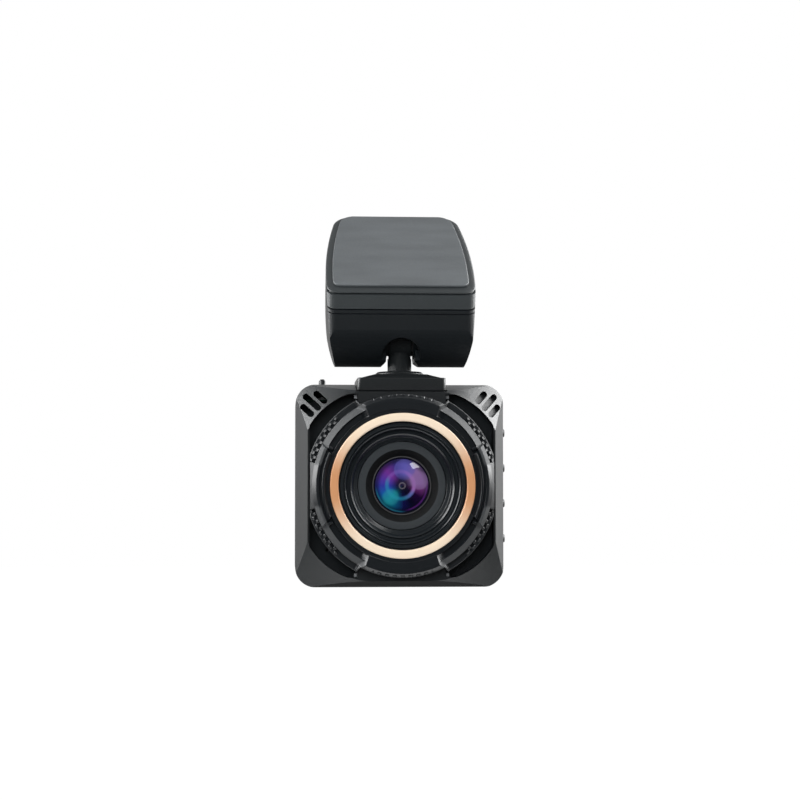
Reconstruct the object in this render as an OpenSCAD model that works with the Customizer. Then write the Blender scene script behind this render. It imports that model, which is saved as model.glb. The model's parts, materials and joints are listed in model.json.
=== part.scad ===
// Dash camera hanging from a windscreen mount, in millimetres.
// The origin is the centre of the adhesive pad's outer face and +Z is up. The lens looks along -Y,
// the side keys are on +X, and the windscreen rises towards +Y.
// Inside the modules the camera's own frame is used: the lens axis is x = 0, z = 0, and y = 0 is the
// front edge of the housing, so y grows towards the screen at the back.

/* [Camera housing] */
// Width of the housing
body_w = 52; // [51.5:0.25:53]
// Height of the housing
body_h = 50.4; // [50:0.2:51]
// Depth of the front housing
front_d = 21; // [21:0.5:22]
// Depth of the rear cover
cover_d = 6; // [6:0.5:8]
// Depth over which the walls lean in towards the front
taper_d = 9; // [8.5:0.25:9.5]
// Radius of the four long edges
corner_r = 5; // [4.5:0.25:5.5]
// Thickness of the walls
wall = 1.8; // [1.6:0.1:1.8]

/* [Lens] */
// Outer radius of the bezel ring
bezel_r = 22.3; // [21.8:0.1:22.3]
// How far the bezel ring stands in front of the housing
bezel_out = 4.5; // [4:0.25:5]
// Outer radius of the copper ring
accent_r = 17.7; // [17.5:0.1:18]
// Inner radius of the copper ring
accent_in_r = 15.6; // [15.5:0.05:15.7]
// Radius of the front lens
glass_r = 6.9; // [6.7:0.1:7]

/* [Keys] */
// Height steps between the four side keys
key_step = 8.85; // [8.5:0.05:9]
// Key travel when pressed
key_travel = 0.35; // [0.25:0.05:0.4]

/* [Windscreen mount] */
// Slope of the windscreen that the mount is made for, from level
glass_slope = 40; // [38:0.5:42]
// Length of the adhesive pad along the slope
pad_len = 32.2; // [31.5:0.1:32.5]
// Width of the mount head
head_w = 37.2; // [36.8:0.1:37.4]
// Height of the tilt hinge above the lens axis
hinge_z = 36.7; // [36.5:0.1:37]
// Diameter of the stem
stem_dia = 6; // [5.6:0.1:6]

/* [Hidden] */
$fn = 96;

// Housing: half sizes at the wide section and at the front edge; at each corner a cone cuts a facet
half_w = body_w / 2;
half_h = body_h / 2;
front_half_w = half_w - 2.95;
front_half_h = half_h - 1.95;
facet_axis = [7, 5.2];
facet_start = [18.1, 0];
facet_end = [norm([half_w, half_h] - corner_r * (1 - cos(45)) * [1, 1] - facet_axis), taper_d];
facet_along = (facet_end - facet_start) / norm(facet_end - facet_start);
facet_in = [-facet_along.y, facet_along.x];
facet_len = 20;
trench_y = 5;
trench_r = facet_start.x + 0.2;
trench_round = facet_axis + trench_r * [1, 1];
trench_half_w = front_half_w - 0.45;
trench_half_h = front_half_h - 0.85;
trench_end_x = 10.8;
stop_y = 1.2;
stop_size = [0.9, 1.2];
bezel_hole_r = bezel_r + 0.15;
rim_r = 23.2;
rim_y = -0.6;
rim_gap = 0.15;
back_y = front_d + cover_d;

// Three sound slots on each upper corner, running towards the lens at 45 degrees
slot_x = 22;
slot_z = 20.6;
slot_step = 2.3;
slot_w = 1.6;
slot_len = [4.2, 5.7, 4.2];
slot_shift = 0.65;
slot_blind = 1.2;
mic_hole = [-18.1, -15.8];

// Keys: pill-shaped, with a flange inside the wall and a switch behind
key_y = 14.5;
key_size = [5.4, 2.45];
key_out = 0.75;
key_gap = 0.12;
key_flange = 0.6;
key_flange_t = 0.7;
power_x = -19.3;
power_size = [6, 1.6];
power_out = 1.5;
switch_gap = 0.05;

// Cradle and its rail, on the top of the housing
pocket_half_w = 11.15;
pocket_z = half_h - 2.1;
pocket_end = 19.7;
cradle_half_w = 10.93;
cradle_y = [0.5, 19.5];
cradle_z = [pocket_z + 0.15, 26.55];
roof_z = 27.55;
rail_neck = 7;
rail_half_w = 9;
rail_lip_z = pocket_z + 1.05;
rail_top_z = 25.55;
rail_y = [2.4, 19.3];
rail_gap = 0.2;
rail_groove = 3.6;
rail_screw_y = [8.2, 16.5];
rail_seat_z = pocket_z + 0.7;

// Stem, swivel disc and hinge
stem_y = (cradle_y[0] + cradle_y[1]) / 2;
stem_r = stem_dia / 2;
disc_r = 6;
disc_z = [roof_z + 0.05, 28.4];
knuckle_r = 4.6;
knuckle_half_w = 2.75;
pin_r = 1.5;
washer_t = 0.5;
throat_half_w = knuckle_half_w + 0.1 + washer_t;
cheek_t = 2.2;
cheek_r = 5.2;
screw_seat_z = 26.5;
swivel_r = 1.5;

// Mount head: one outer form cut into layers by planes parallel to the windscreen
pad_t = 0.7;
plate_t = 0.55;
seam = 0.3;
band_t = 2.6;
layer_plate = -pad_t;
layer_seam_1 = layer_plate - plate_t;
layer_band = layer_seam_1 - seam;
layer_seam_2 = layer_band - band_t;
layer_shell = layer_seam_2 - seam;
layer_line = layer_shell - 0.57;
line_w = 0.2;
belly_r = stem_y - 0.5;
belly_z = 29.7 + belly_r;
head_side_r = 52;
head_wide_z = 45.4;
head_bow_r = 180;
head_bow_len = 30;
head_side_room = 0.2;
head_upper_room = 1;
plan_r = 120;
plan_wide_u = -10.4;
head_half_w = head_w / 2;
head_rear_u = pad_len / 2 + 1;
shell_wall = 2;
arch_half_w = 4.85;
arch_top_z = 36.4;
gap_half_w = stem_r + 0.6;
flare_z = 30.8;
head_front_r = 2.5;
head_rear_r = 4;
pad_inset = 1.7;
pad_front_r = 1.7;
pad_rear_r = 3;
lip_t = 1.4;
pad_front = [1.37, 49.51];
pad_centre = pad_front + pad_len / 2 * [cos(glass_slope), sin(glass_slope)];
tilt_down = 30;
tilt_up = 45;
// The head's screws, front and rear pair, as [x, distance up the slope]
head_screw_at = [[14.8, -11.4], [13.3, 7.6]];
head_screw_seat = layer_plate - 1.1;
head_screw_len = 6.5;
head_boss_r = 2.4;
head_boss_top = layer_seam_1 - lip_t;
bracket_top_z = 46;
bracket_bar_t = 2.5;
bracket_bar_z = bracket_top_z - bracket_bar_t;
bracket_screw_x = 8.4;
bracket_boss_r = 1.9;

// Inside of the housing
far = 60;
boss_x = 21.7;
boss_z = 18.7;
boss_r = 2.4;
pilot_r = 0.8;
cavity_y = trench_y + wall;
barrel_r = 8;
barrel_hole_r = 10.9;
barrel_end_y = 15;
lens_bore_r = 5.1;
lens_fit = 0.02;
dome_r = 12.9;
dome_y = -1.4;
board_y = 18;
board_t = 1.2;
board_half_h = boss_z + boss_r;
standoff_x = 14.5;
standoff_z = [12, -11.5];
standoff_r = 1.8;
rest_z = [0, 2.4];
sensor_y = 15.6;
sensor_board_t = 1;
window_size = [42.6, 33];
window_t = 1.2;
panel_size = [44.5, 32];
panel_t = 2.6;
panel_seat_y = back_y - 2;
cover_screw_y = back_y - 1.6;
usb_size = [9, 3.7, 7.7];
usb_y = board_y - usb_size.y / 2;
usb_z = 7;
card_t = 1.8;
card_y = board_y - card_t / 2;
card_z = -8;
card_mouth_h = 1.3;
card_mouth_w = 11.6;
key_board_x = 18.6;
key_board_t = 0.8;
key_switch_t = 1.6;
key_inner_x = half_w - wall - key_flange_t;
power_board_t = 0.5;
power_board_z = board_half_h;
power_switch_z = half_h - wall - key_flange_t - key_travel - switch_gap;

// Point of the head's side view, as [y, z], at u along the slope and n out of the glass
function on_slope(u, n) = pad_centre
    + u * [cos(glass_slope), sin(glass_slope)] + n * [-sin(glass_slope), cos(glass_slope)];
// Point where a line from p touches the circle of radius r about c, on the given side
function touch(p, c, r, side) =
    let (d = c - p, a = atan2(d.y, d.x) + side * asin(r / norm(d)))
    p + sqrt(norm(d) * norm(d) - r * r) * [cos(a), sin(a)];

// Placement helpers
module row_frame() {
    translate([0, -pad_centre.x, -pad_centre.y]) children();
}

// A flat shape given as [x, z], carried along Y
module along_y(y0, y1) {
    translate([0, y1, 0]) rotate([90, 0, 0]) linear_extrude(y1 - y0) children();
}

// A flat shape given as [y, z], carried along X
module along_x(x0, x1) {
    translate([x0, 0, 0]) rotate([90, 0, 90]) linear_extrude(x1 - x0) children();
}

// A profile given as [radius, y], turned about the lens axis
module turned() {
    rotate([-90, 0, 0]) rotate_extrude() children();
}

module turned_at(x, z, y) {
    translate([x, y, z]) rotate([-90, 0, 0]) rotate_extrude() children();
}

// A layer parallel to the windscreen, from n0 to n1 along its outward normal
module slope_layer(n0, n1) {
    translate([0, pad_centre.x, pad_centre.y]) rotate([glass_slope, 0, 0])
        translate([0, 0, n0]) linear_extrude(n1 - n0) children();
}

module both_sides() {
    children();
    mirror([1, 0, 0]) children();
}

module four_corners() {
    both_sides() {
        children();
        mirror([0, 0, 1]) children();
    }
}

module rounded_rect(w, h, r) {
    square([w - 2 * r, h], center = true);
    square([w, h - 2 * r], center = true);
    for (x = [-1, 1], y = [-1, 1])
        translate([x * (w / 2 - r), y * (h / 2 - r)]) circle(r);
}

module pill(len, w) {
    square([len - w, w], center = true);
    for (side = [-1, 1]) translate([side * (len - w) / 2, 0]) circle(w / 2);
}

module box_between(a, b) {
    translate(a) cube(b - a);
}

// A pan-head screw whose head rests on z = 0, with its shank going down
module screw(shank_r, shank_len, head_r, head_h) {
    translate([0, 0, -shank_len]) cylinder(r = shank_r, h = shank_len);
    difference() {
        cylinder(r = head_r, h = head_h);
        for (turn = [0, 90]) rotate([0, 0, turn])
            translate([0, 0, head_h]) cube([head_r * 1.3, head_r * 0.3, head_h * 0.9], center = true);
    }
}

// Housing

// The cone at a front corner, as the space outside it and as a skin of the given depth under it
module facet_cutter() {
    front = facet_start - facet_along;
    outer = facet_start + facet_len * facet_along;
    intersection() {
        turned_at(facet_axis.x, facet_axis.y, 0) polygon([front, outer, [outer.x, front.y]]);
        box_between([facet_axis.x, -far, facet_axis.y], [far, far, far]);
    }
}

module facet_skin(depth) {
    front = facet_start - 2 * facet_along;
    outer = facet_start + facet_len * facet_along;
    turned_at(facet_axis.x, facet_axis.y, 0)
        polygon([front - facet_in, outer - facet_in, outer + depth * facet_in, front + depth * facet_in]);
}

module housing_envelope() {
    difference() {
        intersection() {
            along_y(0, front_d) rounded_rect(body_w, body_h, corner_r);
            translate([0, 0, -body_h]) linear_extrude(2 * body_h)
                polygon([[-half_w, front_d], [-half_w, taper_d], [-front_half_w, 0],
                    [front_half_w, 0], [half_w, taper_d], [half_w, front_d]]);
            along_x(-body_w, body_w)
                polygon([[front_d, half_h], [taper_d, half_h], [0, front_half_h],
                    [0, -front_half_h], [taper_d, -half_h], [front_d, -half_h]]);
        }
        four_corners() facet_cutter();
    }
}

// Dark trench between the bezel ring and the housing's front edge, broken at the top and bottom
module trench() {
    along_y(-1, trench_y) {
        circle(bezel_hole_r);
        difference() {
            intersection() {
                rounded_rect(2 * trench_round.x, 2 * trench_round.y, trench_r);
                square([2 * trench_half_w, 2 * trench_half_h], center = true);
            }
            square([2 * trench_end_x, 2 * body_h], center = true);
        }
    }
}

// Small stop at each end of the trench
module trench_stops() {
    four_corners() box_between([trench_end_x - 0.2, stop_y, trench_half_h - stop_size.y],
        [trench_end_x + stop_size.x, trench_y + 0.2, trench_half_h + 0.2]);
}

module sound_slots(depth) {
    intersection() {
        facet_skin(depth);
        along_y(-1, front_d) translate([slot_x, slot_z]) rotate(45)
            for (i = [-1, 0, 1])
                translate([-abs(i) * slot_shift, i * slot_step]) pill(slot_len[i + 1], slot_w);
    }
}

module at_bosses(y) {
    four_corners() translate([boss_x, y, boss_z]) rotate([-90, 0, 0]) children();
}

module at_standoffs(y) {
    for (z = standoff_z) translate([standoff_x, y, z]) rotate([-90, 0, 0]) children();
}

// Screw bosses, two standoffs for the main board and a rest for its other edge
module inner_posts() {
    at_bosses(taper_d) cylinder(r = boss_r, h = front_d - taper_d);
    at_standoffs(cavity_y - 0.5) cylinder(r = standoff_r, h = board_y - cavity_y + 0.5);
    both_sides() box_between([half_w - wall - 2.9, taper_d - 0.5, rest_z[0]],
        [half_w - wall + 0.2, board_y, rest_z[1]]);
}

module key_holes() {
    for (i = [1 : 4]) side_key_place(i) key_prism(key_size, key_gap, wall * 3);
    power_key_place() key_prism(power_size, key_gap, wall * 3);
}

module front_housing() {
    color("#4a4d50") row_frame() difference() {
        union() {
            difference() {
                housing_envelope();
                trench();
                along_y(cavity_y, taper_d + 0.5)
                    rounded_rect(body_w - 2 * wall - 4, body_h - 2 * wall - 3.5, corner_r + 2);
                along_y(taper_d, front_d + 1)
                    rounded_rect(body_w - 2 * wall, body_h - 2 * wall, corner_r - wall);
            }
            trench_stops();
            inner_posts();
            box_between([-pocket_half_w - 1.4, cavity_y - 0.5, pocket_z - wall],
                [pocket_half_w + 1.4, pocket_end + 1.2, half_h - wall + 0.2]);
        }
        box_between([-pocket_half_w, -1, pocket_z], [pocket_half_w, pocket_end, half_h + 1]);
        along_y(0, cavity_y + 1) circle(barrel_hole_r);
        mirror([1, 0, 0]) sound_slots(5);
        sound_slots(slot_blind);
        along_y(0, taper_d) translate(mic_hole) circle(0.5);
        key_holes();
        translate([-half_w, usb_y, usb_z]) cube([12, usb_size.y + 0.4, usb_size.z + 0.4], center = true);
        translate([-half_w, card_y, card_z]) cube([12, card_mouth_h, card_mouth_w], center = true);
        at_bosses(taper_d + 2) cylinder(r = pilot_r, h = front_d);
        at_standoffs(board_y - 6) cylinder(r = pilot_r, h = front_d);
        for (y = rail_screw_y) translate([0, y, 0]) cylinder(r = pilot_r, h = half_h);
    }
}

module rear_cover() {
    color("#3d4043") row_frame() difference() {
        union() {
            difference() {
                union() {
                    along_y(front_d, back_y - 1) rounded_rect(body_w, body_h, corner_r);
                    along_y(back_y - 1, back_y) rounded_rect(body_w - 1.6, body_h - 1.6, corner_r - 0.8);
                    cover_lip();
                }
                along_y(front_d - 0.1, panel_seat_y)
                    rounded_rect(body_w - 2 * wall - 2.3, body_h - 2 * wall - 8, corner_r - wall - 1);
            }
            at_bosses(front_d) cylinder(r = boss_r, h = cover_d - 1);
        }
        along_y(front_d, back_y + 1) rounded_rect(window_size.x - 3, window_size.y - 3, 1);
        along_y(back_y - window_t, back_y + 1)
            rounded_rect(window_size.x + 0.2, window_size.y + 0.2, 2.1);
        at_bosses(front_d - 2) cylinder(r = pilot_r + 0.1, h = cover_d + 4);
        at_bosses(cover_screw_y) cylinder(r = 1.9, h = 3);
    }
}

// Lip that drops inside the housing's wall, broken at the screw bosses and at the rail's pocket
module cover_lip() {
    difference() {
        along_y(front_d - 1, front_d + 0.5)
            rounded_rect(body_w - 2 * wall - 0.3, body_h - 2 * wall - 0.3, corner_r - wall);
        along_y(front_d - 2, front_d + 1)
            rounded_rect(body_w - 2 * wall - 2.3, body_h - 2 * wall - 2.3, corner_r - wall - 1);
        box_between([-pocket_half_w - 1.6, front_d - 2, 0],
            [pocket_half_w + 1.6, front_d + 0.6, half_h]);
        at_bosses(front_d - 2) cylinder(r = boss_r + 0.2, h = 2);
    }
}

module housing_screws() {
    color("#2a2a2c") row_frame() at_bosses(cover_screw_y) screw(pilot_r, 8, 1.6, 1);
}

// T-shaped rail on which the cradle slides; its top is grooved to pass the swivel screw's head
module mount_rail() {
    color("#2c2e30") row_frame() difference() {
        union() {
            box_between([-rail_neck, rail_y[0], pocket_z], [rail_neck, rail_y[1], rail_lip_z + 0.1]);
            box_between([-rail_half_w, rail_y[0], rail_lip_z], [rail_half_w, rail_y[1], rail_top_z]);
        }
        box_between([-rail_groove, -1, rail_top_z - 0.8], [rail_groove, front_d, rail_top_z + 1]);
        for (y = rail_screw_y) translate([0, y, 0]) {
            cylinder(r = pilot_r + 0.1, h = half_h + 2);
            translate([0, 0, rail_seat_z]) cylinder(r = 1.8, h = 3);
        }
    }
}

module rail_screws() {
    color("#8d9093") row_frame()
        for (y = rail_screw_y) translate([0, y, rail_seat_z]) screw(pilot_r, 2.4, 1.6, 0.85);
}

// Lens group

module lens_bezel() {
    color("#1c1d1f") row_frame() difference() {
        union() {
            turned() polygon([[bezel_r, trench_y], [bezel_r, 2.2 - bezel_out], [20.4, -bezel_out],
                [18.7, -bezel_out], [18.7, 0.5 - bezel_out], [accent_r + 0.05, 0.5 - bezel_out],
                [accent_r + 0.05, 1.1 - bezel_out], [15.3, 1.1 - bezel_out], [15.3, trench_y]]);
            bezel_rim();
        }
        for (a = [45, 135, 225, 315]) bezel_pocket(a, 38, 18.9, 20.1, 1.6);
        for (a = [0, 180]) bezel_pocket(a, 52, 19.7, 20.5, 0.7);
        for (a = [30 : 60 : 330]) bezel_pocket(a, 32, 21.4, 23, 2.6);
    }
}

// Rim behind the knurled patches, in the two sides of the trench
module bezel_rim() {
    along_y(rim_y, trench_y) difference() {
        intersection() {
            circle(rim_r);
            both_sides() translate([trench_end_x + rim_gap, -rim_r])
                square([trench_half_w - trench_end_x - 2 * rim_gap, 2 * rim_r]);
        }
        circle(bezel_r - 1);
    }
}

// An arc-shaped pocket in the bezel ring's front, centred at an angle from +X
module bezel_pocket(mid, span, r0, r1, depth) {
    rotate([-90, 0, 0]) rotate([0, 0, -mid - span / 2]) rotate_extrude(angle = span)
        translate([r0, -bezel_out - 1]) square([r1 - r0, depth + 1]);
}

module accent_ring() {
    color("#d69b70") row_frame() turned()
        polygon([[accent_in_r, 1.1 - bezel_out], [accent_in_r, 0.3 - bezel_out],
            [accent_in_r + 0.3, 0.1 - bezel_out], [accent_r - 0.2, -bezel_out + 0.1],
            [accent_r, 0.3 - bezel_out], [accent_r, 1.1 - bezel_out]]);
}

// Black stepped funnel inside the copper ring
module lens_hood() {
    color("#141416") row_frame() turned()
        polygon([[15.2, trench_y], [15.2, -3.9], [14.1, -3.7], [13.95, -3.9], [13.7, -2.6], [12.7, -2.4],
            [12.55, -2.7], [12.3, -2.3], [11.9, -1.4], [barrel_hole_r, -1], [barrel_hole_r, trench_y]]);
}

module lens_barrel() {
    color("#3a3b3d") row_frame() turned()
        polygon([[barrel_hole_r - 0.15, -0.6], [barrel_hole_r - 0.15, 3], [barrel_r, 3],
            [barrel_r, barrel_end_y], [lens_bore_r, barrel_end_y], [lens_bore_r, 5.2],
            [glass_r + lens_fit, 5.2], [glass_r + lens_fit, 0.55], [8.9, -0.6]]);
}

module front_lens() {
    color("#35407a") row_frame() intersection() {
        translate([0, dome_r + dome_y, 0]) sphere(dome_r);
        along_y(2 * dome_y, 5.2) circle(glass_r);
    }
}

// A biconvex lens between y0 and y1
module biconvex(y0, y1, edge_r, curve_r) {
    intersection() {
        along_y(y0, y1) circle(edge_r);
        translate([0, y0 + curve_r, 0]) sphere(curve_r, $fn = 256);
        translate([0, y1 - curve_r, 0]) sphere(curve_r, $fn = 256);
    }
}

module middle_lens() {
    color("#4b5a90") row_frame() biconvex(5.6, 8.2, lens_bore_r - lens_fit, 14);
}

module aperture_stop() {
    color("#111111") row_frame() along_y(9, 9.3) difference() {
        circle(lens_bore_r - lens_fit);
        circle(1.2);
    }
}

module rear_lens() {
    color("#4b5a90") row_frame() biconvex(10.4, 13.2, lens_bore_r - lens_fit, 11);
}

module lens_holder() {
    color("#222326") row_frame() difference() {
        along_y(10.2, sensor_y) rounded_rect(19, 19, 1.5);
        along_y(9, sensor_y - 0.5) circle(barrel_r + lens_fit);
        along_y(sensor_y - 1.4, sensor_y + 1) square([9, 7.5], center = true);
    }
}

module image_sensor() {
    color("#30453a") row_frame() along_y(sensor_y - 0.55, sensor_y) square([7.6, 6], center = true);
}

module sensor_board() {
    color("#1f5136") row_frame() along_y(sensor_y, sensor_y + sensor_board_t)
        rounded_rect(19, 22, 1);
}

module main_board() {
    color("#1f5136") row_frame() along_y(board_y, board_y + board_t) difference() {
        rounded_rect(44, 2 * board_half_h, 1);
        for (x = [-1, 1], z = [-1, 1]) translate([x * boss_x, z * boss_z]) circle(boss_r + 0.6);
        translate([0, half_h - 4]) square([2 * pocket_half_w + 4, 8], center = true);
        for (z = standoff_z) translate([standoff_x, z]) circle(pilot_r + 0.1);
    }
}

module board_screws() {
    color("#8d9093") row_frame() at_standoffs(board_y + board_t) screw(pilot_r, 6, 1.5, 0.9);
}

module heat_spreader() {
    color("#a9abad") row_frame() along_y(sensor_y + sensor_board_t, board_y) translate([4, 0])
        rounded_rect(16, 16, 0.8);
}

module battery() {
    color("#8b8f96") row_frame() along_y(taper_d + 0.5, 14.5) translate([0, 5 + wall - half_h])
        rounded_rect(30, 10, 1.5);
}

module speaker() {
    color("#25262a") row_frame() turned_at(-14.6, 13.6, cavity_y)
        polygon([[0, 0], [4.6, 0], [4.6, 0.6], [5, 0.6], [5, 2.2], [3.4, 2.2], [3.4, 3.2], [0, 3.2]]);
}

// A profile given as [radius, depth], turned about an axis along +Y from the point x, z
module microphone() {
    color("#b9bcc0") row_frame() translate([mic_hole.x, cavity_y + 0.55, mic_hole.y]) difference() {
        cube([3.2, 1.1, 3.2], center = true);
        rotate([90, 0, 0]) cylinder(r = 0.4, h = 1.2);
    }
}

module usb_socket() {
    color("#b7b9bb") row_frame() difference() {
        translate([-half_w + 0.3 + usb_size.x / 2, usb_y, usb_z]) cube(usb_size, center = true);
        translate([-half_w, usb_y, usb_z]) cube([2 * usb_size.x - 3, 3, 6.9], center = true);
        translate([-half_w + 4, usb_y, usb_z]) cube([1, 0.8, 5], center = true);
    }
}

module card_socket() {
    color("#b7b9bb") row_frame() difference() {
        translate([-half_w + 9.2, card_y, card_z]) cube([14.4, card_t, 14], center = true);
        translate([-half_w + 7, card_y, card_z]) cube([14, card_t / 2, 11.2], center = true);
    }
}

module key_board() {
    color("#1f5136") row_frame() box_between([key_board_x, key_y - 3, -16.2],
        [key_board_x + key_board_t, board_y, 16.2]);
}

// Small stiffened strip over the screw boss, which carries the power key's switch
module power_board() {
    color("#1f5136") row_frame() box_between([power_x - 4, key_y - 3, power_board_z],
        [power_x + 3, board_y + board_t, power_board_z + power_board_t]);
}

module key_switches() {
    plunger = key_inner_x - key_travel - switch_gap - key_board_x - key_board_t;
    power_t = power_switch_z - power_board_z - power_board_t;
    color("#c9cbcd") row_frame() {
        for (i = [1 : 4]) translate([key_board_x + key_board_t, key_y, key_height(i)])
            rotate([0, 90, 0]) {
                translate([0, 0, key_switch_t / 2]) cube([3.2, 3.2, key_switch_t], center = true);
                cylinder(r = 0.8, h = plunger);
            }
        translate([power_x, key_y, power_board_z + power_board_t]) {
            translate([0, 0, power_t / 4]) cube([2.6, 2.6, power_t / 2], center = true);
            cylinder(r = 0.6, h = power_t);
        }
    }
}

module display_panel() {
    color("#17191c") row_frame() along_y(panel_seat_y - panel_t, panel_seat_y)
        rounded_rect(panel_size.x, panel_size.y, 0.8);
}

module display_window() {
    color("#0d0e10") row_frame() along_y(back_y - window_t, back_y - 0.05)
        rounded_rect(window_size.x, window_size.y, 2);
}

// Keys

function key_height(i) = (2.5 - i) * key_step;

module side_key_place(i) {
    translate([half_w, key_y, key_height(i)]) rotate([0, 90, 0]) rotate([0, 0, 90]) children();
}

module power_key_place() {
    translate([power_x, key_y, half_h]) rotate([0, 0, 90]) children();
}

// The hole or plug of a key: a pill on the wall's outer face, reaching in by depth
module key_prism(size, gap, depth) {
    translate([0, 0, -depth / 2 - 1]) linear_extrude(depth) pill(size.x + 2 * gap, size.y + 2 * gap);
}

module key_cap(size, out) {
    translate([0, 0, -wall]) linear_extrude(wall + out - 0.3) pill(size.x, size.y);
    translate([0, 0, out - 0.31]) linear_extrude(0.31) pill(size.x - 0.5, size.y - 0.5);
    translate([0, 0, -wall - key_flange_t]) linear_extrude(key_flange_t)
        pill(size.x + 2 * key_flange, size.y + 2 * key_flange);
}

module side_key(i) {
    color("#3a3c3e") row_frame() side_key_place(i) key_cap(key_size, key_out);
}

module power_key() {
    color("#2b2c2e") row_frame() power_key_place() key_cap(power_size, power_out);
}

// Cradle

module cradle() {
    mid = [0, stem_y];
    size = [2 * cradle_half_w, cradle_y[1] - cradle_y[0]];
    color("#2e3032") row_frame() difference() {
        union() {
            translate([0, 0, cradle_z[0]]) linear_extrude(cradle_z[1] - cradle_z[0])
                translate(mid) rounded_rect(size.x, size.y, 1);
            intersection() {
                along_y(-far, far) hip(0, size.x / 2 - 0.6);
                along_x(-far, far) hip(stem_y, size.y / 2 - 0.6);
            }
        }
        box_between([-rail_neck - rail_gap, rail_y[0] - 0.3, 0],
            [rail_neck + rail_gap, front_d, rail_top_z]);
        box_between([-rail_half_w - rail_gap, rail_y[0] - 0.3, rail_lip_z - rail_gap],
            [rail_half_w + rail_gap, front_d, rail_top_z + rail_gap]);
        translate([0, stem_y, 0]) {
            cylinder(r = swivel_r + 0.05, h = far);
            cylinder(r = 3.4, h = screw_seat_z);
        }
    }
}

// One slope of the cradle's hipped top, seen from the front or the side
module hip(mid, half) {
    top_half = disc_r + 0.5;
    polygon([[mid - half, cradle_z[1] - 0.1], [mid + half, cradle_z[1] - 0.1],
        [mid + top_half, roof_z], [mid - top_half, roof_z]]);
}

module swivel_washer() {
    color("#b8babd") row_frame() translate([0, stem_y, screw_seat_z - 0.4]) difference() {
        cylinder(r = 3.2, h = 0.35);
        translate([0, 0, -1]) cylinder(r = swivel_r + 0.1, h = 3);
    }
}

module swivel_screw() {
    color("#8d9093") row_frame() translate([0, stem_y, screw_seat_z - 0.4]) {
        cylinder(r = swivel_r, h = 6);
        translate([0, 0, -1.1]) difference() {
            cylinder(r = 2.9, h = 1.1);
            translate([0, 0, -1]) cylinder(r = 1.1, h = 1.6, $fn = 6);
        }
    }
}

// Stem: swivel disc below, round stem, and the hinge eye above
module stem() {
    color("#33363a") row_frame() difference() {
        union() {
            translate([0, stem_y, 0]) {
                translate([0, 0, disc_z[0]]) cylinder(r = disc_r, h = 0.4);
                translate([0, 0, disc_z[0] + 0.4])
                    cylinder(r1 = disc_r, r2 = disc_r - 0.5, h = disc_z[1] - disc_z[0] - 0.4);
                translate([0, 0, disc_z[0]]) cylinder(r = stem_r, h = hinge_z - 5 - disc_z[0]);
            }
            intersection() {
                translate([0, stem_y, disc_z[1]]) cylinder(r = stem_r, h = hinge_z - disc_z[1]);
                box_between([-knuckle_half_w, 0, 0], [knuckle_half_w, front_d, far]);
            }
            along_x(-knuckle_half_w, knuckle_half_w) translate([stem_y, hinge_z]) circle(knuckle_r);
        }
        along_x(-far, far) translate([stem_y, hinge_z]) circle(pin_r + 0.05);
        translate([0, stem_y, 0]) cylinder(r = swivel_r, h = screw_seat_z + 5.8);
    }
}

module friction_washers() {
    color("#c9c4b8") row_frame() both_sides() along_x(throat_half_w - washer_t, throat_half_w)
        translate([stem_y, hinge_z]) difference() {
            circle(knuckle_r - 0.4);
            circle(pin_r + 0.06);
        }
}

// Mount head

// Points along an arc about c, from angle a0 to a1
function arc(c, r, a0, a1, steps) =
    [for (i = [0 : steps]) let (a = a0 + (a1 - a0) * i / steps) c + r * [cos(a), sin(a)]];
// The given points, then their mirror image in the line x = 0, in one loop
function with_mirror(side) =
    concat(side, [for (i = [len(side) - 1 : -1 : 0]) [-side[i].x, side[i].y]]);

// Half width of the head at u up the slope, and its bowed side from u0 to u1, shrunk by inset
function plan_half(u, inset) = head_half_w - inset - plan_r + sqrt(plan_r * plan_r - pow(u - plan_wide_u, 2));
function plan_side(inset, u0, u1) = arc([head_half_w - inset - plan_r, plan_wide_u], plan_r,
    asin((u0 - plan_wide_u) / plan_r), asin((u1 - plan_wide_u) / plan_r), 12);

// Outline of the head seen square to the windscreen, as [x, u], shrunk by inset
module head_plan(inset) {
    front_u = -30;
    rear_r = max(head_rear_r - inset, 0.6);
    rear_u = head_rear_u - inset - rear_r;
    polygon(with_mirror(concat(plan_side(inset, front_u, rear_u),
        arc([plan_half(rear_u, inset) - rear_r, rear_u], rear_r, 0, 90, 8))));
}

// Outline of the head seen from the front, as [x, z]
module head_front(inset) {
    low_z = 25;
    polygon(with_mirror(concat(
        arc([head_half_w - head_side_r, head_wide_z], head_side_r - inset,
            -asin((head_wide_z - low_z) / head_side_r), 0, 10),
        [[head_half_w - inset + head_upper_room, 2 * head_wide_z]])));
}

// Outline of the head seen from the side, as [y, z]: round belly, upright front, leaning back
module head_side(inset) {
    middle = [stem_y, belly_z];
    r = belly_r - inset;
    rear_u = head_rear_u - inset + head_side_room;
    rear = on_slope(rear_u, layer_shell - 0.6);
    meet = touch(rear, middle, r, 1) - middle;
    polygon(concat(arc(middle, r, 180, 360 + atan2(meet.y, meet.x), 28),
        [rear, on_slope(rear_u, 2), [-far, pad_front.y + 2]]));
}

// Outline of the head seen from above, as [x, y]: a straight front with rounded corners
module head_top(inset) {
    r = max(head_front_r - inset, 0.4);
    side_x = head_half_w - inset + head_side_room;
    side_y = stem_y - belly_r + inset + 0.05 + r;
    polygon(with_mirror(concat(arc([side_x - r, side_y], r, -90, 0, 8),
        arc([side_x - head_bow_r, side_y], head_bow_r, 2, asin(head_bow_len / head_bow_r), 10))));
}

module head_form(inset) {
    intersection() {
        along_x(-head_w, head_w) head_side(inset);
        along_y(-far, far) head_front(inset);
        slope_layer(-far, far) head_plan(inset);
        linear_extrude(2 * far) head_top(inset);
    }
}

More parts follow.
